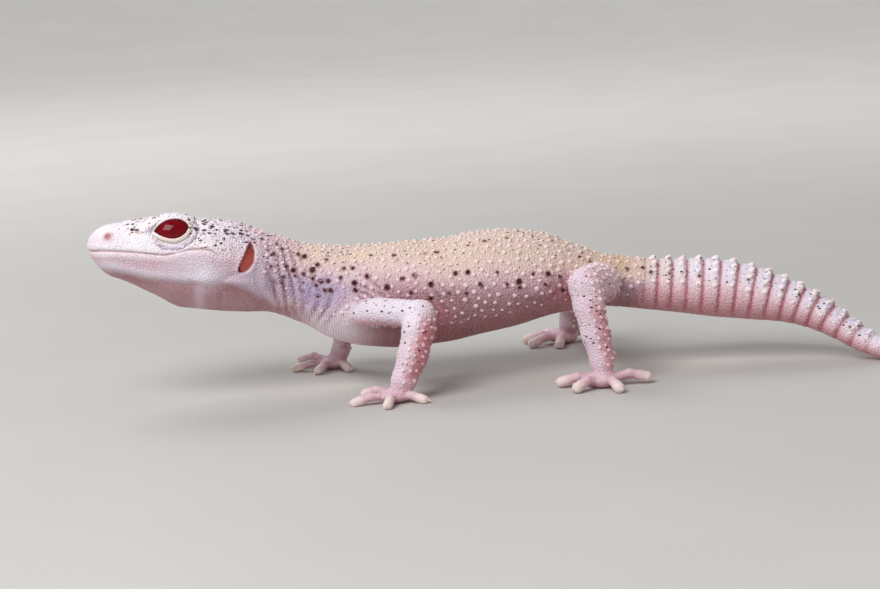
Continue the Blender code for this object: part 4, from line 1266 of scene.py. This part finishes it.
def spread(points, reach, seed):
    """Which points are kept so that no two lie nearer than their reach: every point has a random rank, and in
    each round the best of each cube of space that outranks the best within reach in the cubes beside it is
    kept, and the points within its reach drop out."""
    rank = np.random.default_rng(seed).random(len(points))
    cube = np.floor((points - points.min(0)) / reach.max()).astype(np.int64) + 2
    key = cube @ np.array([1, 1 << 20, 1 << 40])
    beside = [i + (j << 20) + (k << 40) for i in (-1, 0, 1) for j in (-1, 0, 1) for k in (-1, 0, 1)]
    live, kept = np.arange(len(points)), []
    while len(live):
        order = live[np.lexsort((-rank[live], key[live]))]
        first = np.concatenate([[True], np.diff(key[order]) != 0])
        best = order[first]
        keys = key[best]
        good = np.ones(len(best), bool)
        for step in beside:
            at = np.clip(np.searchsorted(keys, keys + step), 0, len(keys) - 1)
            other = best[at]
            found = (keys[at] == keys + step) & (other != best) & (rank[other] > rank[best])
            near = np.linalg.norm(points[other] - points[best], axis=1) < reach[best]
            good &= ~(found & near)
        best = best[good]
        kept.append(best)
        keys = key[best]
        out = np.zeros(len(live), bool)
        for step in beside:
            at = np.clip(np.searchsorted(keys, key[live] + step), 0, len(keys) - 1)
            found = keys[at] == key[live] + step
            out |= found & (np.linalg.norm(points[best[at]] - points[live], axis=1) < reach[live])
        out |= np.isin(live, best)
        live = live[~out]
    return np.concatenate(kept)


def unwrap(points, leg):
    """A place for each root on the skin laid flat: the body unrolled along the lower part of the square,
    station by angle, and the four legs in strips above it, height by angle round the leg."""
    x, across, above = body_place(turn_head(points, back=True))
    u = (x - SNOUT + 2) / (TIP - SNOUT + 4)
    v = 0.01 + 0.62 * (np.arctan2(across, above) / (2 * math.pi) + 0.5)
    for number, name in enumerate(LIMBS):
        own = near_limb(points, name, 3)
        own = own[leg[own] > 0.5]
        chain = np.array(LIMBS[name])
        height = points[own, 2]
        line = np.array([np.interp(height, chain[:1:-1, 2], chain[:1:-1, k]) for k in (0, 1)])
        turn = np.arctan2(points[own, 1] - line[1], points[own, 0] - line[0]) / (2 * math.pi) + 0.5
        reach = np.hypot(points[own, 1] - line[1], points[own, 0] - line[0])
        u[own] = 0.01 + 0.245 * number + 0.225 * turn
        v[own] = 0.66 + 0.32 * np.clip((height + np.maximum(9 - reach, 0)) / 34, 0, 1)
    return np.stack([u, v], 1)


PATCH = 0.0015  # half a scale's width on the OFBake map


def scales(name, roots, ways, radius, height, profile, sides, values, leg, stretch, lean):
    """Closed domes, one to each root: rings round the root's way, at each ring's share of the radius and
    height in the profile, leaning to the rear by a share of the radius, and an apex. stretch widens them
    round the body."""
    rear = (1 - leg)[:, None] * (1.0, 0.12, 0.0) + leg[:, None] * (0.2, 0.0, -1.0)
    rear -= ways * np.sum(rear * ways, axis=1)[:, None]
    rear /= np.maximum(np.linalg.norm(rear, axis=1), 1e-6)[:, None]
    beside = np.cross(ways, rear)
    angle = np.linspace(0, 2 * math.pi, sides, endpoint=False)
    share, rise = np.array(profile[:-1]).T
    flat = np.stack([np.cos(angle), np.sin(angle)])  # along the body, and round it
    ring = rear[:, None, None] * flat[0][:, None] + beside[:, None, None] * (flat[1] * stretch)[:, None]
    shape = roots[:, None, None] + ring * (share[:, None] * radius[:, None, None])[..., None]
    lift = ways[:, None] * (rise * height[:, None])[..., None]
    lift += rear[:, None] * (np.maximum(rise, 0) * lean * radius[:, None])[..., None]
    shape = (shape + lift[:, :, None]).reshape(len(roots), -1, 3)
    apex = roots + ways * (profile[-1][1] * height)[:, None] + rear * (lean * radius)[:, None]
    points = np.concatenate([shape, apex[:, None]], axis=1)

    # One dome's faces: walls between rings, a fan to the apex, and the ring under it.
    walls, first, after = ring_walls(len(share), sides)
    walls, last = walls[:, [0, 3, 2, 1]], (len(share) - 1) * sides
    top = np.stack([first + last, after + last, 0 * first + last + sides], 1)
    faces = many([walls, top, first[None, ::-1]], len(roots), points.shape[1])

    # Its patch of the map, round the root's place.
    place = (share[:, None, None] * flat.T).reshape(-1, 2)
    place = np.concatenate([place, [[0.0, 0.0]]]) * PATCH
    flatmap = unwrap(roots, leg)
    corner_map = [(flatmap[:, None] + place[table.ravel()][None]).reshape(-1, 2) for table in (walls, top)]
    corner_map.append(np.repeat(flatmap + place[0], sides, axis=0))
    own = {key: np.repeat(value, points.shape[1]) for key, value in values.items()}
    near = np.flatnonzero(own["spots"] < 1.6)
    own["spots"][near] = spot_distance(points.reshape(-1, 3)[near])
    piece = fill_mesh(name, points.reshape(-1, 3), faces, scale_material, own, np.concatenate(corner_map))
    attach(piece, "root")


def carry(pool, weights, names, source):
    """Values at sampled places, from those of the points round them."""
    return {key: np.einsum("nk,nk->n", weights, source[key][pool]) for key in names}


scale_material = hide_material("gecko_scales", 0.16, 0.03, 0.03)
pool, weights = sample(points, skin_faces, 330000, seed=41)
places = np.einsum("nk,nkd->nd", weights, points[pool])
carried = carry(pool, weights, ("size", "relief", "under"), form)
allowed = ~np.any(form["bare"][pool], axis=1) & (carried["under"] < 0.5)
places, carried = places[allowed], {key: value[allowed] for key, value in carried.items()}
kept = spread(places, carried["size"], seed=42)

# Under the chest and belly the scales are flat and stand in tidy rows across the body, those of each row
# between those of the next. Any that would lie within a leg are left out.
ROW_PITCH, ROW_STEP, ROW_SIZE, ROW_RELIEF = 0.56, 0.48, 0.44, 0.26
ROWS_FROM, ROWS_TO, FAN_FROM, FAN_TO = -51.0, 20.0, -2.87, -0.27  # along the body, and angles round it
rows = []
for number, x in enumerate(np.arange(ROWS_FROM, ROWS_TO, ROW_PITCH)):
    step = ROW_STEP / np.interp(x, FINE_X, FINE[5])
    angle = np.arange(FAN_FROM, FAN_TO, step) + number % 2 * step / 2
    rows.append(np.stack([np.full(len(angle), x), angle], 1))
rows = np.concatenate(rows)
belly = settle(section_radius(rows[:, 0], rows[:, 1]), skin_field)
belly = sculpt(belly[np.abs(skin_field(belly)) < 0.03])
belly = belly[zones(belly, slope_of(skin_field, belly)[1])[1]["under"] > 0.5]

roots = np.concatenate([places[kept], belly])
_, root_ways, _ = slope_of(skin_field, roots)
root_values, root_form = zones(roots, root_ways)
size = np.concatenate([carried["size"][kept], np.full(len(belly), ROW_SIZE)])
relief = np.concatenate([carried["relief"][kept], np.full(len(belly), ROW_RELIEF)])
GRANULE = [(1.0, -0.6), (0.80, 0.60), (0.0, 1.0)]  # share of the radius and of the height at each ring
GRANULE_SIDES, GRANULE_RADIUS, GRANULE_HEIGHT = 6, 0.64, 1.25  # the last two as shares of its size
size = size * np.random.default_rng(43).uniform(0.88, 1.08, len(size))
order = np.argsort(root_form["x"])
BATCH = 8600  # how many a piece may hold and stay under 200,000 triangles
for number, batch in enumerate(np.array_split(order, math.ceil(len(order) / BATCH))):
    scales(
        f"scales_{number + 1}",
        roots[batch],
        root_ways[batch],
        size[batch] * GRANULE_RADIUS,
        relief[batch] * size[batch] * GRANULE_HEIGHT,
        GRANULE,
        GRANULE_SIDES,
        {key: value[batch] for key, value in root_values.items()},
        root_form["leg"][batch],
        1.05,
        0.25,
    )

# ------------------------------------------------------------ tubercles
# Larger blunt cones stand between the small scales: scattered over the neck, back, flanks and the rear of the
# legs, small on the head, and in rows along the rear of each tail ring.
TUBERCLE, TUBERCLE_SIDES = [(1.0, -0.5), (0.86, 0.30), (0.52, 0.78), (0.22, 0.96), (0.0, 1.0)], 9


def wanted(values, form, points):
    """How far apart the tubercles stand, 0 where there are none, and their radius and height, in mm."""
    x, level, behind, height = form["x"], form["level"], form["behind"], points[:, 2]
    ahead, _, up = form["straight"].T
    head, tail, leg = form["head"] > 0.5, form["tail"] > 0.3, form["leg"] > 0.5
    neck, back = smooth(-44, -52, x), (level > 0.55) & (x > -44)
    apart = np.where(back, 1.65, 1.68 - 0.40 * neck)
    radius = np.where(back, 0.52, 0.58 - 0.14 * neck) * (1 - 0.35 * smooth(-0.2, -0.5, level))
    rise = (0.42 - 0.02 * neck) * (1 - 0.5 * smooth(-0.1, -0.5, level))
    none = (level < -0.55) | (x < -47) & (level < -0.25) | (values["lilac"] > 0.4) & (level < 0.15)
    crown = (smooth(-77, -70, ahead) * smooth(31.5, 33.5, up) > 0.5) | (up > 38.6) & (ahead > -80)
    none = np.where(head, ~crown, none) | tail & ((level < 0.1) | (x > WHORLS_FROM - 1))
    shin = (behind > 0.12) & (height > 4.5) & (height < 17.5) | (x > 5) & (height > 12) & (behind > 0.4)
    shin |= (behind > 0.0) & (x < 0) & (height > 5.5) & (height < 13.5)
    none = np.where(leg, ~shin, none) | (form["leg"] > 0.02) & ~leg
    apart = np.where(none, 0.0, np.select([leg, head], [1.30, 1.02], apart))
    return apart, np.select([leg, head], [0.50, 0.37], radius), np.select([leg, head], [0.42, 0.27], rise)


pool, weights = sample(points, skin_faces, 60000, seed=51)
places = np.einsum("nk,nkd->nd", weights, points[pool])
carried = carry(pool, weights, ("leg", "tail", "head", "level", "x", "behind"), form)
carried["straight"] = np.einsum("nk,nkd->nd", weights, form["straight"][pool])
apart, radius, rise = wanted(carry(pool, weights, ("lilac",), values), carried, places)
allowed = (apart > 0) & ~np.any(form["bare"][pool], axis=1) & (np.max(values["brick"][pool], axis=1) < 0.01)
places, apart, radius, rise = (part[allowed] for part in (places, apart, radius, rise))
kept = spread(places, apart, seed=52)
places, radius, rise = places[kept], radius[kept], rise[kept]

# Rows along the rear of each tail ring, on both sides, smaller towards its tip and down its sides.
RING_SHARE = 0.66  # where in its ring a row stands
TAIL_ROWS = np.radians([88, 62, 38, 14])
ring_tops = np.interp(np.arange(22) + RING_SHARE, RING_COUNT, RING_X)
ring_tops = ring_tops[ring_tops < WHORLS_TO - 1]
rows = np.array([(x, angle) for x in ring_tops for angle in [*TAIL_ROWS, *(math.pi - TAIL_ROWS)]])
chance = np.random.default_rng(53)
rows[:, 0] += chance.uniform(-0.22, 0.22, len(rows))
rows[:, 1] += chance.uniform(-0.05, 0.05, len(rows))
ringed = sculpt(settle(section_radius(rows[:, 0], rows[:, 1]), skin_field))
shrink = np.interp(rows[:, 0], [27, 40, 60, 77], [0.9, 1.05, 0.85, 0.45])
shrink *= 0.72 + 0.33 * np.sin(rows[:, 1]) ** 0.5

# The comb of small cones on the front edge of each ear.
comb = ear_outline(56)[30:52:2] - (0.30, 0.0)
comb = np.stack([comb[:, 0], np.full(len(comb), EAR_SIDE), comb[:, 1]], 1)
comb = turn_with_head(np.concatenate([comb, comb * (1, -1, 1)]))

# All of them together.
places = np.concatenate([places, ringed, settle(comb, skin_field, 8)])
radius = np.concatenate([radius, 0.80 * shrink, np.full(len(comb), 0.30)])
rise = np.concatenate([rise, 0.72 * shrink, np.full(len(comb), 0.42)])
_, root_ways, _ = slope_of(skin_field, places)
root_values, root_form = zones(places, root_ways)
# Their pale tops are whitest on the tail and dullest on the neck, with less of the rose, mauve and painted
# underside shade round them.
pearl = 0.42 + 0.38 * root_form["tail"] - 0.15 * root_form["head"] - 0.32 * hill(root_form["x"] + 50, 8)
root_values["pearl"] = pearl * (1 - root_values["freckle"] * 0.2)
for key in ("rose", "mauve", "dusky_rose_and_shade"):
    root_values[key] *= 0.6
vary = np.random.default_rng(54).uniform(0.8, 1.12, len(places))
scales(
    "tubercles",
    places,
    root_ways,
    radius * vary,
    rise * vary,
    TUBERCLE,
    TUBERCLE_SIDES,
    root_values,
    root_form["leg"],
    1.0,
    0.5,
)

# ============================================================ floor, light and camera
# A pale studio floor that curves up into a wall all round, two soft boxes and a soft sky, and the camera low
# at the animal's side.
FLOOR_FLAT, FLOOR_BEND, FLOOR_SIDES = 1.3, 1.2, 96
bend = np.linspace(0, math.pi / 2, 16)
flat = np.array([0.02, *np.linspace(0.1, FLOOR_FLAT, 6)])
outward = np.concatenate([flat, FLOOR_FLAT + FLOOR_BEND * np.sin(bend[1:])])[:, None]
upward = np.concatenate([0 * flat, FLOOR_BEND * (1 - np.cos(bend[1:]))])[:, None]
angle = np.linspace(0, 2 * math.pi, FLOOR_SIDES, endpoint=False)
bowl = np.stack([outward * np.cos(angle), outward * np.sin(angle), upward + 0 * angle], 2)
bowl = np.concatenate([bowl.reshape(-1, 3), [[0, 0, 0]]])
walls, first, after = ring_walls(len(outward), FLOOR_SIDES)
faces = [walls, np.stack([first, after, 0 * first + len(bowl) - 1], 1)]
material, shader, tree, place = new_material("pale_floor", Roughness=0.7)
tint = blend(tree, noise(tree, place, 60.0, 4.0), (0.50, 0.485, 0.46), (0.56, 0.545, 0.52))
away = add(tree, "ShaderNodeVectorMath", {"operation": "LENGTH"}, i0=place).outputs["Value"]
glow = sums(tree, "MULTIPLY", ramp(tree, away, 0.05, 0.7), 0.52)  # evens out the light beyond the animal
connect(shader, Base_Color=tint, Emission_Color=tint, Emission_Strength=glow)
floor = fill_mesh("floor", bowl / MM + SOLIDS_MIDDLE, faces, material, {})

world = bpy.data.worlds.new("world")
bpy.context.scene.world = world
world.use_nodes = True
connect(world.node_tree.nodes["Background"], Color=(0.92, 0.95, 1.0, 1), Strength=0.26)
bpy.context.scene.view_settings.view_transform = "Standard"
# Each soft box: its name, place in metres, power in watts, and width in metres.
LAMPS = [("key_box", (-0.34, -0.46, 0.62), 5.8, 0.52), ("rim_box", (-0.55, 0.75, 0.95), 5.5, 0.6)]
for name, spot, power, width in LAMPS:
    lamp_data = bpy.data.lights.new(name, "AREA")
    lamp_data.energy, lamp_data.size = power, width
    lamp = bpy.data.objects.new(name, lamp_data)
    lamp.location = spot
    lamp.rotation_euler = (Vector((0, 0, 0.02)) - lamp.location).to_track_quat("-Z", "Y").to_euler()
    bpy.context.scene.collection.objects.link(lamp)

# The camera looks at AIM from DISTANCE mm away, raised by ELEVATION and tilted sideways by ROLL.
DISTANCE, ELEVATION, ROLL = 450.0, math.radians(9.5), math.radians(3.75)
AIM = np.array([-17.6, 0.0, 18.7])
VIEW_WIDTH, SENSOR = 880 * 0.22, 36  # width of the view at the animal, and of the camera's sensor, in mm
camera_data = bpy.data.cameras.new("camera")
camera_data.sensor_width = SENSOR
camera_data.lens = SENSOR * DISTANCE / VIEW_WIDTH
camera_data.clip_start, camera_data.clip_end = 0.01, 10
camera = bpy.data.objects.new("camera", camera_data)
back = np.array([0, -math.cos(ELEVATION), math.sin(ELEVATION)])
camera.location = to_metres(AIM + back * DISTANCE)
right, over = np.array([1.0, 0, 0]), np.array([0, math.sin(ELEVATION), math.cos(ELEVATION)])
axis_x = math.cos(ROLL) * right - math.sin(ROLL) * over
axis_y = math.sin(ROLL) * right + math.cos(ROLL) * over
camera.rotation_euler = Matrix((axis_x, axis_y, back)).transposed().to_euler()
bpy.context.scene.collection.objects.link(camera)
bpy.context.scene.camera = camera
